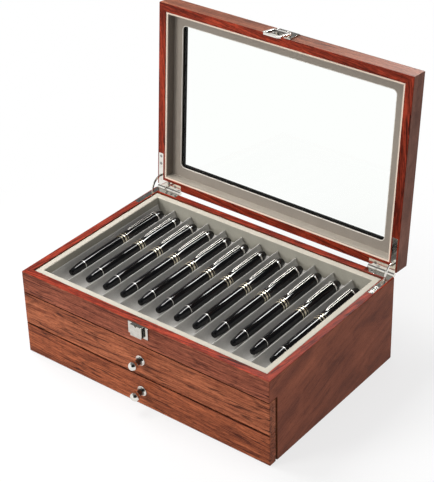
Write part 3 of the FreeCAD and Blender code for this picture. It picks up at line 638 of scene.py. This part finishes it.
def clear_glass():
    """Clear sheet glass: it passes what is behind it and mirrors a little at a slant."""
    material = bpy.data.materials.new("clear_glass")
    material.use_nodes = True
    tree = material.node_tree
    tree.nodes.remove(tree.nodes["Principled BSDF"])
    graph = Graph(tree)
    point = graph.node("TexCoord").outputs["Object"]
    surface = graph.node(
        "Group", {"node_tree": POLISH},
        {"Place": point, "Clean": (1, 1, 1, 1), "Dull": paint(246, 248, 247), "Base": 0.0, "Smudges": 0.05},
    )
    clear = graph.node("BsdfTransparent", {}, {"Color": paint(254, 255, 254)})
    mirror = graph.node(
        "BsdfAnisotropic", {},
        {"Color": surface.outputs["Color"], "Roughness": surface.outputs["Roughness"]},
    )
    outer = graph.number("SUBTRACT", 1.0, graph.node("NewGeometry").outputs["Backfacing"])
    share = graph.times(graph.node("Fresnel", {}, {"IOR": 1.22}).outputs[0], outer)
    mixed = graph.node("MixShader", {}, {0: share, 1: clear.outputs[0], 2: mirror.outputs[0]})
    graph.feed(tree.nodes["Material Output"].inputs["Surface"], mixed.outputs[0])
    return material


GLASS = clear_glass()


# -------- wooden case and lid
def rounded_form(low, high):
    """The assembled outer form with rounded edges, a hair larger than the boards that it trims."""
    form = block(low - Vector((HAIR,) * 3), high + Vector((HAIR,) * 3))
    return eased(form, form.edges, WOOD_EASE, 4)


def on(edge, axis, value):
    """Whether an edge lies in a plane square to an axis."""
    return all(abs(vertex.co[axis] - value) < 10 * WELD for vertex in edge.verts)


def inner_edges(made, level, low, high):
    """The top edges of a board that lie next to the lining inside."""
    across = 0 if high.y - low.y > high.x - low.x else 1
    inner = min(low[across], high[across], key=abs)
    return [edge for edge in made.edges if on(edge, 2, level) and on(edge, across, inner)]


def inner_chamfer(face, upward, level):
    """Whether a face is the small chamfer between a board's rim and the lining."""
    inward = Vector((face.center.x, face.center.y, 0)).dot(face.normal) < 0
    slanted = 0.4 < face.normal.z * upward < SQUARE_ON
    return inward and slanted and abs(face.center.z - level) < INNER_EASE


def trimmed(node, place, level, low, high):
    """A board eased next to the lining, then trimmed by the form that it makes up with its neighbours."""
    made = welded(node, place)
    eased(made, inner_edges(made, level, *box_in(place, node)), INNER_EASE, 1)
    form = as_mesh(rounded_form(low, high), "form")
    return smoothed(combined(as_mesh(made, node), form, "INTERSECT"))


def near_outside(face, high):
    """Whether a face lies at one of the four outer sides of a form that is centred on the Z axis."""
    return max(abs(face.center.x) - high.x, abs(face.center.y) - high.y) > -WOOD_EASE


def case_board(node, grain, rim, inner):
    """A case board: veneer outside, solid wood along its rim and plain wood inside."""
    def choose(face):
        # the chamfer by the lining and the underside take painted shade
        if inner_chamfer(face, 1, CASE_HIGH.z) or face.normal.z < -SQUARE_ON:
            return SEAM_SHADE
        if face.normal.z > MAINLY and face.center.z > CASE_HIGH.z - WOOD_EASE:
            return rim
        outward = Vector((face.center.x, face.center.y, 0)).dot(face.normal)
        return grain if outward > 0 and near_outside(face, CASE_HIGH) else inner

    board = trimmed(node, AT_REST, CASE_HIGH.z, CASE_LOW, CASE_HIGH)
    dressed(board, (grain, rim, inner, SEAM_SHADE), choose)
    fitted(node + "_wood", board, "case", "case_wood", node)


def lid_rail(node, grain, rim, top):
    """A lid rail, trimmed in the shut lid's place and then opened. Its side above the glass is black."""
    def choose(face):
        # the chamfer by the lining takes painted shade
        if inner_chamfer(face, -1, LID_LOW.z):
            return SEAM_SHADE
        if face.normal.z < -MAINLY and face.center.z < LID_LOW.z + WOOD_EASE:
            return rim
        if face.normal.z > MAINLY and face.center.z > LID_HIGH.z - WOOD_EASE:
            return top
        if abs(face.normal.z) < HARDLY and near_outside(face, LID_HIGH):
            return grain
        return WINDOW_BLACK if face.center.z > GLASS_TOP - HAIR else rim

    rail = trimmed(node, SHUT, LID_LOW.z, LID_LOW, LID_HIGH)
    dressed(rail, (grain, rim, top, WINDOW_BLACK, SEAM_SHADE), choose)
    rail.transform(OPENED)
    fitted(node + "_wood", rail, "lid", "case_wood", node)


case_board("left_side_panel", SIDE_VENEER, RIM_ACROSS, PLAIN_ACROSS)
case_board("right_side_panel", SIDE_VENEER, RIM_ACROSS, PLAIN_ACROSS)
case_board("back_panel", BACK_VENEER, RIM_ALONG, PLAIN_ALONG)
case_board("front_apron", APRON_VENEER, RIM_ALONG, PLAIN_ALONG)
for rail in ("lid_front_rail", "lid_back_rail"):
    lid_rail(rail, LID_FRONT_VENEER, LID_RIM_ALONG, LID_TOP_ALONG)
for rail in ("lid_left_rail", "lid_right_rail"):
    lid_rail(rail, LID_SIDE_VENEER, LID_RIM_ACROSS, LID_TOP_ACROSS)


def drawer_front(drawer, grain):
    """A veneered drawer front, with chamfers above and below painted dark as the seams' shade."""
    node = drawer + "_front"
    made = welded(node)
    low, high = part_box(node)
    facing = [edge for edge in made.edges if on(edge, 1, low.y)]
    eased(made, [edge for edge in facing if on(edge, 2, low.z) or on(edge, 2, high.z)], INNER_EASE, 1)

    def choose(face):
        # the chamfers take painted shade
        return SEAM_SHADE if HARDLY < abs(face.normal.z) < SQUARE_ON else grain

    mesh = dressed(smoothed(as_mesh(made, node)), (grain, SEAM_SHADE), choose)
    fitted(node + "_wood", mesh, drawer, "case_wood", node)


drawer_front("upper_drawer", UPPER_VENEER)
drawer_front("lower_drawer", LOWER_VENEER)
for board in ("bottom_panel", "tray_floor", "drawer_divider"):
    finish_node(board, PLAIN_FLAT)
for drawer in DRAWERS:
    finish_node(drawer + "_left_side", PLAIN_ACROSS)
    finish_node(drawer + "_right_side", PLAIN_ACROSS)
    finish_node(drawer + "_back", PLAIN_ALONG)
    finish_node(drawer + "_bottom", PLAIN_FLAT)


# -------- grooved beds and linings
def groove_profile(half_width, low):
    """The cross-section of a bed from left to right: round grooves between narrow, rounded ridges."""
    chord = GROOVE_PITCH - RIDGE_WIDTH
    radius = (chord * chord / 4 + GROOVE_DEPTH * GROOVE_DEPTH) / (2 * GROOVE_DEPTH)
    reach = math.asin(chord / 2 / radius)
    centre_level = low + GROOVE_SKIN + radius
    crown = low + GROOVE_SKIN + GROOVE_DEPTH
    points = []
    ridge_round = RIDGE_WIDTH / 2
    for groove in range(PEN_COUNT):
        middle = (groove + 0.5) * GROOVE_PITCH - TRAY_INNER
        for step in range(GROOVE_STEPS + 1):
            angle = -reach + 2 * reach * step / GROOVE_STEPS
            level = centre_level - radius * math.cos(angle)
            points.append((middle + radius * math.sin(angle), min(level, crown - ridge_round)))
        if groove < PEN_COUNT - 1:
            for step in range(1, RIDGE_STEPS):
                angle = math.pi * step / RIDGE_STEPS
                side = middle + GROOVE_PITCH / 2 - ridge_round * math.cos(angle)
                points.append((side, crown - ridge_round + ridge_round * math.sin(angle)))
    points = [point for point in points if abs(point[0]) <= half_width]
    return [(-half_width, crown)] + points + [(half_width, crown)]


def grooved_bed(name, node, body, finish_used):
    """A velvet bed: its grooved top with softly rounded ends, on straight sides."""
    low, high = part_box(node)
    profile = groove_profile(high.x, low.z)
    ends = [
        (BED_END_ROUND * share, BED_END_ROUND * (1 - math.sqrt(1 - (1 - share) ** 2)))
        for share in (0.0, 0.18, 0.5, 1.0)
    ]
    level_length = high.y - low.y - 2 * BED_END_ROUND
    rows = [(low.y + inset, drop) for inset, drop in ends]
    rows += [(low.y + BED_END_ROUND + level_length * row / BED_ROWS, 0.0) for row in range(1, BED_ROWS)]
    rows += [(high.y - inset, drop) for inset, drop in reversed(ends)]
    made = bmesh.new()
    grid = []
    for place, drop in rows:
        line = []
        for across, level in profile:
            wave = noise.noise(Vector((across * CLOTH_WAVES[0], place * CLOTH_WAVES[1], 3.0))) * CLOTH_WAVE
            line.append(made.verts.new((across, place, level - drop + min(wave, 0))))
        grid.append(line)
    for near, far in zip(grid, grid[1:]):
        for column in range(len(profile) - 1):
            made.faces.new((near[column], near[column + 1], far[column + 1], far[column]))
    rim = [edge for edge in made.edges if edge.is_boundary]
    walls = bmesh.ops.extrude_edge_only(made, edges=rim)["geom"]
    for vertex in corners_of(walls):
        vertex.co.z = low.z
    bmesh.ops.contextual_create(made, geom=[edge for edge in made.edges if edge.is_boundary])
    outward(made)
    mesh = as_mesh(made, name)
    mesh.shade_smooth()
    mesh.set_sharp_from_angle(angle=BED_ANGLE)
    piece = fitted(name, dressed(mesh, (finish_used,)), body, "grey_velvet", node)


grooved_bed("tray_velvet_bed", "tray_pen_bed", "case", bed_velvet("tray_velvet", "tray_pen_bed"))
for drawer in DRAWERS:
    velvet = bed_velvet(drawer + "_velvet", drawer + "_bed")
    grooved_bed(drawer + "_velvet_bed", drawer + "_bed", drawer, velvet)


def long_edges(made, level):
    """The edges of a lining's boards that lie at one level and run with the board, not across a mitre."""
    def straight(edge):
        run = (edge.verts[1].co - edge.verts[0].co).normalized()
        return max(abs(run.x), abs(run.y)) > 0.999

    return [edge for edge in made.edges if straight(edge) and on(edge, 2, level)]


def tray_liner(node):
    """A cloth-wrapped board round the tray, pale along its top and grey down its sides."""
    made = welded(node)
    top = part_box(node)[1].z
    eased(made, long_edges(made, top), CLOTH_EASE, 5)

    def choose(face):
        return LINER_WALL_CLOTH if abs(face.normal.z) < HARDLY else LINER_CLOTH

    mesh = dressed(smoothed(as_mesh(made, node)), (LINER_CLOTH, LINER_WALL_CLOTH), choose)
    fitted(node + "_cloth", mesh, "case", "liner_cloth", node)


for liner in TRAY_LINERS:
    tray_liner(liner)


def on_inner_side(edge):
    """Whether a lining edge faces the middle of the lid rather than the wood."""
    middle = (edge.verts[0].co + edge.verts[1].co) / 2
    inset = min(LID_LINER_HIGH.x - abs(middle.x), LID_LINER_HIGH.y - abs(middle.y))
    return inset > HALF_LINER


def lid_lining():
    """The cloth-wrapped boards inside the lid, with a pale edge next to the wood.

    The left board's cloth is painted darker, as painted shade, and the hinge side's lighter, as painted
    light.
    """
    made = welded("lid_liner_boards", SHUT)
    mitres = [face for face in made.faces if all(len(edge.link_faces) > 2 for edge in face.edges)]
    bmesh.ops.delete(made, geom=mitres, context="FACES_ONLY")
    inner = [edge for edge in long_edges(made, LID_LINER_LOW.z) if on_inner_side(edge)]
    eased(made, inner, LINER_ROUND, 5)

    def choose(face):
        if face.center.z < LID_LINER_LOW.z + 0.1 * MM:
            return LID_EDGE_CLOTH
        if face.normal.x > 0.5:
            return LID_CLOTH_PAINTED_SHADE
        return LID_CLOTH_PAINTED_LIGHT if face.normal.y < -0.5 else LID_CLOTH

    finishes = (LID_CLOTH, LID_EDGE_CLOTH, LID_CLOTH_PAINTED_SHADE, LID_CLOTH_PAINTED_LIGHT)
    mesh = dressed(smoothed(as_mesh(made, "lid_lining")), finishes, choose)
    mesh.transform(OPENED)
    fitted("lid_lining_cloth", mesh, "lid", "liner_cloth", "lid_liner_boards")


def window_line(inset, level):
    """Points round the lid's window, with its rounded corners, in the shut lid's place."""
    radius = WINDOW_CORNER - inset
    half_x, half_y = WINDOW_HALF.x - inset - radius, WINDOW_HALF.y - inset - radius
    points = []
    for side_x, side_y, start in ((1, 1, 0), (-1, 1, 90), (-1, -1, 180), (1, -1, 270)):
        for step in range(CORNER_STEPS + 1):
            angle = math.radians(start + 90 / CORNER_STEPS * step)
            x = side_x * half_x + radius * math.cos(angle)
            points.append((x, side_y * half_y + radius * math.sin(angle), level))
    return points


def window_bead():
    """The light bead along the window's edge: a round section swept round it."""
    made = bmesh.new()
    rings = []
    for step in range(BEAD_SEGMENTS):
        angle = step * 2 * math.pi / BEAD_SEGMENTS
        inset = BEAD_INSET + BEAD_RADIUS * math.cos(angle)
        level = BEZEL_FACE + BEAD_RISE + BEAD_RADIUS * math.sin(angle)
        rings.append([made.verts.new(point) for point in window_line(inset, level)])
    for near, far in zip(rings, rings[1:] + rings[:1]):
        bridged(made, near, far)
    outward(made)
    mesh = dressed(as_mesh(made, "window_bead"), (BEAD,))
    mesh.shade_smooth()
    mesh.transform(OPENED)
    fitted("window_bead", mesh, "lid", "liner_cloth")


def lid_bezel():
    """The cloth-wrapped frame round the window."""
    made = welded("lid_bezel", SHUT)
    inner = [edge for edge in made.edges if on(edge, 2, BEZEL_FACE) and edge_inside(edge)]
    eased(made, inner, BEZEL_ROUND, 4)
    mesh = dressed(smoothed(as_mesh(made, "lid_bezel")), (LID_CLOTH,))
    mesh.transform(OPENED)
    fitted("lid_bezel_cloth", mesh, "lid", "liner_cloth", "lid_bezel")


def edge_inside(edge):
    """Whether an edge belongs to the window's outline rather than the frame's outside."""
    return all(
        abs(vertex.co.x) < WINDOW_HALF.x + 10 * WELD and abs(vertex.co.y) < WINDOW_HALF.y + 10 * WELD
        for vertex in edge.verts
    )


lid_lining()
lid_bezel()
window_bead()
finish_node("lid_glass", GLASS)


# -------- hinges, catch and hasp
def inside_of(node):
    """Names the finish of a ring's face: painted darker where it lines the hole, as painted shade in place
    of what it mirrors.
    """
    low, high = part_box(node)
    centre = (low + high) / 2
    hole_reach = 2.5 * MM          # the hole's sides lie further than this from its middle

    def choose(face):
        return NICKEL_PAINTED_SHADE if (centre - face.center).dot(face.normal) > hole_reach else NICKEL

    return choose


def eased_metal(node, body, width=METAL_EASE, change=None, finishes=(NICKEL,), choose=None):
    """A metal piece with its edges broken. change is (form, operation), for a cut or a boss made first."""
    mesh = as_mesh(welded(node), node)
    if change:
        mesh = combined(mesh, *change)
    bevel = {"width": width, "segments": 2, "limit_method": "ANGLE", "angle_limit": BROKEN_ANGLE}
    mesh = dressed(smoothed(after(mesh, ("BEVEL", bevel))), finishes, choose)
    fitted(node + "_metal", mesh, body, "polished_nickel", node)


def catch_pocket():
    """The hollow of the catch, which is a cover folded from sheet and open at its sides."""
    low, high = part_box("catch_block")
    wall, cover_height, plate = 0.9 * MM, 12.4 * MM, 1.25 * MM
    hollow = block(
        Vector((low.x, low.y + wall, high.z - cover_height + wall)),
        Vector((high.x, CASE_LOW.y - plate, high.z - wall)),
    )
    return as_mesh(hollow, "catch_pocket")


def hasp_boss():
    """The small dome on the hasp's plate that the ring closes over."""
    turned = ((0.4, 0.0), (0.4, 1.9), (0.0, 1.9), (-0.5, 1.55), (-0.85, 0.9), (-1.0, 0.0))
    made = lathe([(place * MM, radius * MM, 0) for place, radius in turned], 32)
    plate, rise = 1.2 * MM, 2.6 * MM
    foot = box_in(SHUT, "hasp_plate")[0].z
    bmesh.ops.translate(made, verts=made.verts, vec=(0, CASE_LOW.y - plate, foot + rise))
    bmesh.ops.transform(made, matrix=OPENED, verts=made.verts)
    return as_mesh(made, "hasp_boss")


def cross_recess(centre, top, facing):
    """The cross-shaped driver recess in one screw head."""
    reach, half, depth = 1.15 * MM, 0.24 * MM, 0.7 * MM
    outline = []
    for quarter in range(4):
        turn = Matrix.Rotation(quarter * math.pi / 2, 2)
        outline += [turn @ Vector(point) for point in ((reach, -half), (reach, half), (half, half))]
    made = bmesh.new()
    corners = [made.verts.new((centre.x + x, centre.y + y, top + facing * depth)) for x, y in outline]
    made.faces.new(corners)
    raised = bmesh.ops.extrude_face_region(made, geom=list(made.faces))["geom"]
    for vertex in corners_of(raised):
        vertex.co.z = top - facing * depth
    outward(made)
    return made


def islands(made):
    """The vertices of each separate solid in a mesh."""
    left = set(made.verts)
    found = []
    while left:
        island, edge_of_island = set(), [next(iter(left))]
        while edge_of_island:
            vertex = edge_of_island.pop()
            if vertex in island:
                continue
            island.add(vertex)
            edge_of_island += [edge.other_vert(vertex) for edge in vertex.link_edges]
        left -= island
        found.append(island)
    return found


def crossed_screws(node, body, place, facing):
    """The leaf screws, each with a cross recess in its head. facing is 1 if the heads face up, else -1."""
    made = welded(node, place)
    recesses = []
    for island in islands(made):
        low, high = box_of(vertex.co for vertex in island)
        recesses.append(cross_recess((low + high) / 2, high.z if facing > 0 else low.z, facing))
    mesh = combined(as_mesh(made, node), as_mesh(joined(*recesses), "recesses"), "DIFFERENCE")
    mesh.transform(place.inverted())
    fitted(node + "_crossed", dressed(smoothed(mesh), (STEEL,)), body, "screw_steel", node)


for hand in HANDS:
    eased_metal("hinge_base_leaf_" + hand, "case")
    eased_metal("hinge_lid_leaf_" + hand, "lid")
    eased_metal("hinge_stay_" + hand, "stay_" + hand)
eased_metal("catch_block", "case", 0.3 * MM, (catch_pocket(), "DIFFERENCE"), (CAST_NICKEL,))
eased_metal("hasp_plate", "lid", METAL_EASE, (hasp_boss(), "UNION"), (CAST_NICKEL,))
eased_metal("hasp_ring", "hasp_ring", 0.5 * MM, None, (NICKEL, NICKEL_PAINTED_SHADE), inside_of("hasp_ring"))
crossed_screws("base_hinge_screws", "case", AT_REST, 1)
crossed_screws("lid_hinge_screws", "lid", SHUT, -1)
for pin in ("hinge_pins", "hasp_pin"):
    finish_node(pin, NICKEL)
for screws in ("upper_knob_screw", "lower_knob_screw"):
    finish_node(screws, STEEL)


# -------- knobs
# (distance from the drawer front, radius) of the flange and the neck, in mm
KNOB_TURNED = (
    (0, 0), (0, 5.0), (0.25, 5.3), (0.7, 5.3), (0.95, 5.0), (1.0, 4.5),
    (1.5, 4.3), (2.1, 3.8), (2.6, 3.3), (3.4, 2.9), (4.8, 2.8), (5.8, 2.9),
)


def knob(drawer):
    """A turned knob: stepped flange, waisted neck and ball. The neck is painted darker, as painted shade."""
    node = drawer.replace("_drawer", "_knob")
    low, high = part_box(node)
    middle = (low.z + high.z) / 2
    seat = high.y
    ball, neck = 4.8 * MM, 3.0 * MM
    neck_reach, flange = 3.9 * MM, 1.6 * MM
    ball_place = low.y + ball
    profile = [(seat - depth * MM, radius * MM) for depth, radius in KNOB_TURNED]
    profile += arc((ball_place, 0), ball, math.asin(neck / ball), math.pi, 20)[:-1]
    profile += [(low.y, 0)]
    made = lathe([(place, radius, 0) for place, radius in profile], KNOB_SEGMENTS)
    bmesh.ops.translate(made, verts=made.verts, vec=(0, 0, middle))
    mesh = as_mesh(made, node)
    mesh.set_sharp_from_angle(angle=KNOB_ANGLE)

    def on_neck(face):
        near_axis = math.hypot(face.center.x, face.center.z - middle) < neck_reach
        return NICKEL_PAINTED_SHADE if near_axis and ball_place < face.center.y < seat - flange else NICKEL

    dressed(mesh, (NICKEL, NICKEL_PAINTED_SHADE), on_neck)
    fitted(node + "_turned", mesh, drawer, "polished_nickel", node)


for drawer in DRAWERS:
    knob(drawer)


# -------- pens
RESIN, SILVER, GOLD = range(3)

# (distance from the tail, radius, finish up to here) along one capped pen, in mm
PEN_PROFILE = (
    (0.0, 0.0, RESIN), (0.0, 2.5, RESIN), (0.25, 3.0, RESIN), (0.7, 3.3, RESIN),
    (6.0, 3.9, RESIN), (12.0, 4.5, RESIN), (17.2, 4.88, RESIN),
    (17.3, 5.03, SILVER), (17.9, 5.04, SILVER), (18.0, 4.92, RESIN),
    (30.0, 5.2, RESIN), (45.0, 5.38, RESIN), (60.0, 5.4, RESIN), (72.8, 5.35, RESIN),
    (72.9, 5.85, GOLD), (73.1, 6.00, GOLD), (73.6, 6.00, GOLD), (73.7, 5.92, RESIN),
    (75.9, 5.94, RESIN), (76.0, 6.05, GOLD), (78.0, 6.06, GOLD), (78.1, 5.96, RESIN),
    (80.3, 5.97, RESIN), (80.4, 6.03, GOLD), (80.9, 6.03, GOLD), (81.0, 5.98, RESIN),
    (95.0, 6.0, RESIN), (112.0, 5.9, RESIN), (128.4, 5.45, RESIN),
    (128.5, 5.65, SILVER), (129.9, 5.6, SILVER), (130.0, 5.35, RESIN),
    (133.5, 5.0, RESIN), (137.0, 4.45, RESIN), (138.8, 4.0, RESIN), (139.6, 3.4, RESIN),
    (140.0, 2.4, RESIN), (140.0, 0.0, RESIN),
)


def clip_section(half_width):
    """The clip's section: a flat band between two round rails, as (across, up) from the rails' centres."""
    rail = min(CLIP_RAIL, 0.45 * half_width)
    section = []
    for side, start in ((1, -90), (-1, 0)):
        for step in range(CLIP_RAIL_STEPS + 1):
            angle = math.radians(start + 270 * step / CLIP_RAIL_STEPS)
            section.append((side * (half_width - rail) + rail * math.cos(angle), rail * math.sin(angle)))
    return section


# (distance from the tail, height over the pen's axis, half the width) along the clip, in mm
CLIP_STATIONS = (
    (129.7, 5.3, 1.6), (129.8, 6.7, 1.6), (129.0, 7.15, 1.6), (126.5, 7.3, 1.58), (114.0, 7.3, 1.5),
    (100.0, 7.2, 1.35), (92.0, 7.05, 1.2), (89.8, 6.9, 1.1), (89.0, 6.8, 1.1), (87.9, 6.7, 1.0),
    (86.9, 6.7, 0.75), (86.3, 6.7, 0.35),
)
# the band there is painted dark, as a painted reflection of the dark studio
CLIP_PAINTED_DARK = range(2, 8)        # the runs between stations whose band is dark


def pen_clip():
    """A sprung clip: a flat band between bright rails, which tapers to a drop resting on the cap.

    The band is painted dark along most of its length, as a painted reflection in place of what polished
    metal mirrors there.
    """
    made = bmesh.new()
    rings = []
    for place, level, half_width in CLIP_STATIONS:
        section = clip_section(half_width)
        corners = [(across * MM, place * MM, (level + up) * MM) for across, up in section]
        rings.append([made.verts.new(corner) for corner in corners])
    for index, (near, far) in enumerate(zip(rings, rings[1:])):
        for step, face in enumerate(bridged(made, near, far)):
            between_rails = step == CLIP_RAIL_STEPS
            # the dark band takes the black resin, as a painted reflection
            face.material_index = RESIN if between_rails and index in CLIP_PAINTED_DARK else SILVER
    for end in (rings[0], rings[-1]):
        made.faces.new(end).material_index = SILVER
    outward(made)
    for face in made.faces:
        face.smooth = True
    return made


def pen_mesh():
    """One capped pen, lying along Y with its clip up."""
    body = lathe([(place * MM, radius * MM, used) for place, radius, used in PEN_PROFILE], PEN_SEGMENTS)
    made = joined(body, pen_clip())
    mesh = as_mesh(made, "collector_pen")
    for used in (PEN_RESIN, SILVER_TRIM, GOLD_TRIM):
        mesh.materials.append(used)
    mesh.set_sharp_from_angle(angle=PEN_ANGLE)
    return mesh


PEN_MESH = pen_mesh()
for number in range(1, PEN_COUNT + 1):
    node = f"pen_{number:02d}"
    low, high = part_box(node)
    axis = ((low.x + high.x) / 2, low.y, low.z + PEN_CAP_RADIUS)
    fitted("collector_" + node, PEN_MESH, node, "pen_black", node, place=axis)


# -------- stage, lamps and camera
def seen_by(graph):
    """The outputs of a Light Path, and whether a ray comes from the camera, a mirror or clear glass."""
    path = graph.node("LightPath").outputs
    seen = graph.number("MAXIMUM", path["Is Camera Ray"], path["Is Glossy Ray"])
    return path, graph.number("MAXIMUM", seen, path["Is Transmission Ray"])


def stage_floor():
    """A white floor that keeps a soft shadow near the chest and turns into the backdrop further out."""
    made = bmesh.new()
    bmesh.ops.create_circle(made, cap_ends=True, segments=96, radius=3.0)
    floor = in_scene("stage_floor", as_mesh(made, "stage_floor"))
    material = bpy.data.materials.new("stage_white")
    material.use_nodes = True
    tree = material.node_tree
    graph = Graph(tree)
    tree.nodes.remove(tree.nodes["Principled BSDF"])
    point = graph.node("TexCoord").outputs["Object"]
    far = graph.node("VectorMath", {"operation": "LENGTH"}, {0: point}).outputs["Value"]
    bare = graph.spread(far, 0.20, 0.42, 0.72, 1.0)
    path, seen = seen_by(graph)
    tint = graph.blend(path["Is Camera Ray"], paint(190, 190, 190), paint(246, 246, 246))
    matt = graph.node("BsdfDiffuse", {}, {"Color": tint})
    white = graph.node("Emission", {}, {"Color": (1, 1, 1, 1), "Strength": 1.0})
    share = graph.times(seen, bare)
    mixed = graph.node("MixShader", {}, {0: share, 1: matt.outputs[0], 2: white.outputs[0]})
    graph.feed(tree.nodes["Material Output"].inputs["Surface"], mixed.outputs[0])
    floor.data.materials.append(material)


# The unlit parts of the studio that polished metal mirrors: (direction, cosine of the angle from it
# where the part is darkest, cosine where it ends, darkness).
DARK_SIDES = (
    ((0.60, -0.62, 0.50), 0.80, 0.62, 0.98),
    ((0.30, 0.66, 0.69), 0.86, 0.70, 0.9),
    ((-0.52, 0.68, 0.51), 0.975, 0.90, 0.88),
)


def studio_world(level):
    """White where it is seen or mirrored, but for an unlit ceiling and sides, and an even, softer light."""
    world = bpy.data.worlds.new("studio")
    bpy.context.scene.world = world
    world.use_nodes = True
    tree = world.node_tree
    graph = Graph(tree)
    background = tree.nodes["Background"]
    path, seen = seen_by(graph)
    direction = graph.node("TexCoord").outputs["Generated"]
    upward = graph.node("SeparateXYZ", {}, {0: direction})
    unlit = graph.spread(upward.outputs["Z"], 0.46, 0.70, 0.0, 0.8)
    for side, inner, outer, darkness in DARK_SIDES:
        middle = Vector(side).normalized()
        towards = graph.node("VectorMath", {"operation": "DOT_PRODUCT"}, {0: direction, 1: middle})
        dark = graph.spread(towards.outputs["Value"], outer, inner, 0.0, darkness)
        unlit = graph.number("MAXIMUM", unlit, dark)
    unlit = graph.times(path["Is Glossy Ray"], unlit)
    mirrored = graph.number("SUBTRACT", 1.0, unlit)
    even = graph.times_plus(seen, 1.0 - level, level)
    graph.feed(background.inputs["Color"], (1, 1, 1, 1))
    graph.feed(background.inputs["Strength"], graph.times(even, mirrored))


def soft_lamp(name, place, aim, size, power, along=Z):
    """A softbox. size is (across, along) in metres. Its length lies as near as it can to the line along."""
    lamp = bpy.data.lights.new(name, "AREA")
    lamp.shape = "RECTANGLE"
    lamp.size, lamp.size_y = size
    lamp.energy = power
    holder = in_scene(name, lamp)
    holder.location = place
    back = (Vector(place) - Vector(aim)).normalized()
    length = (along - back * along.dot(back)).normalized()
    holder.rotation_euler = Matrix((length.cross(back), length, back)).transposed().to_euler()
    return holder


def product_camera():
    """The camera, on a sphere round its target."""
    azimuth, elevation, roll = math.radians(37.474), math.radians(30.927), math.radians(-0.84759)
    distance, target = 1624.2 * MM, Vector((-88.857, 181.35, 48.0)) * MM
    picture_height, picture_shift = 482, -30            # in pixels
    flat = math.cos(elevation)
    back = Vector((math.sin(azimuth) * flat, -math.cos(azimuth) * flat, math.sin(elevation)))
    right = (-back).cross(Z).normalized()
    up = right.cross(-back)
    level_right = right * math.cos(roll) + up * math.sin(roll)
    level_up = up * math.cos(roll) - right * math.sin(roll)
    camera = bpy.data.cameras.new("product_camera")
    camera.lens = 110.10
    camera.sensor_width = 36
    camera.shift_x = picture_shift / picture_height
    camera.shift_y = picture_shift / picture_height
    camera.clip_start = 0.05
    camera.clip_end = 20
    holder = in_scene("product_camera", camera)
    turn = Matrix((level_right, level_up, back)).transposed().to_4x4()
    holder.matrix_world = Matrix.Translation(target + back * distance) @ turn
    bpy.context.scene.camera = holder


stage_floor()
studio_world(0.50)
AIM = (0, 0, 0.08)
overhead = soft_lamp("lamp_overhead", (-0.74, -0.10, 1.24), AIM, (0.7, 0.7), 13.0)
front_left = soft_lamp("lamp_front_left", (-0.80, -1.32, 0.70), AIM, (0.6, 0.6), 14.0)
overhead.visible_glossy = False          # the metal mirrors the studio's white walls instead
front_left.visible_glossy = False
strip = soft_lamp("lamp_back_strip", (-0.24, 0.92, 1.04), AIM, (0.26, 1.2), 33.0, Y)
strip.visible_diffuse = False            # it only draws the long highlights on the pens
product_camera()
bpy.context.scene.view_settings.view_transform = "Standard"
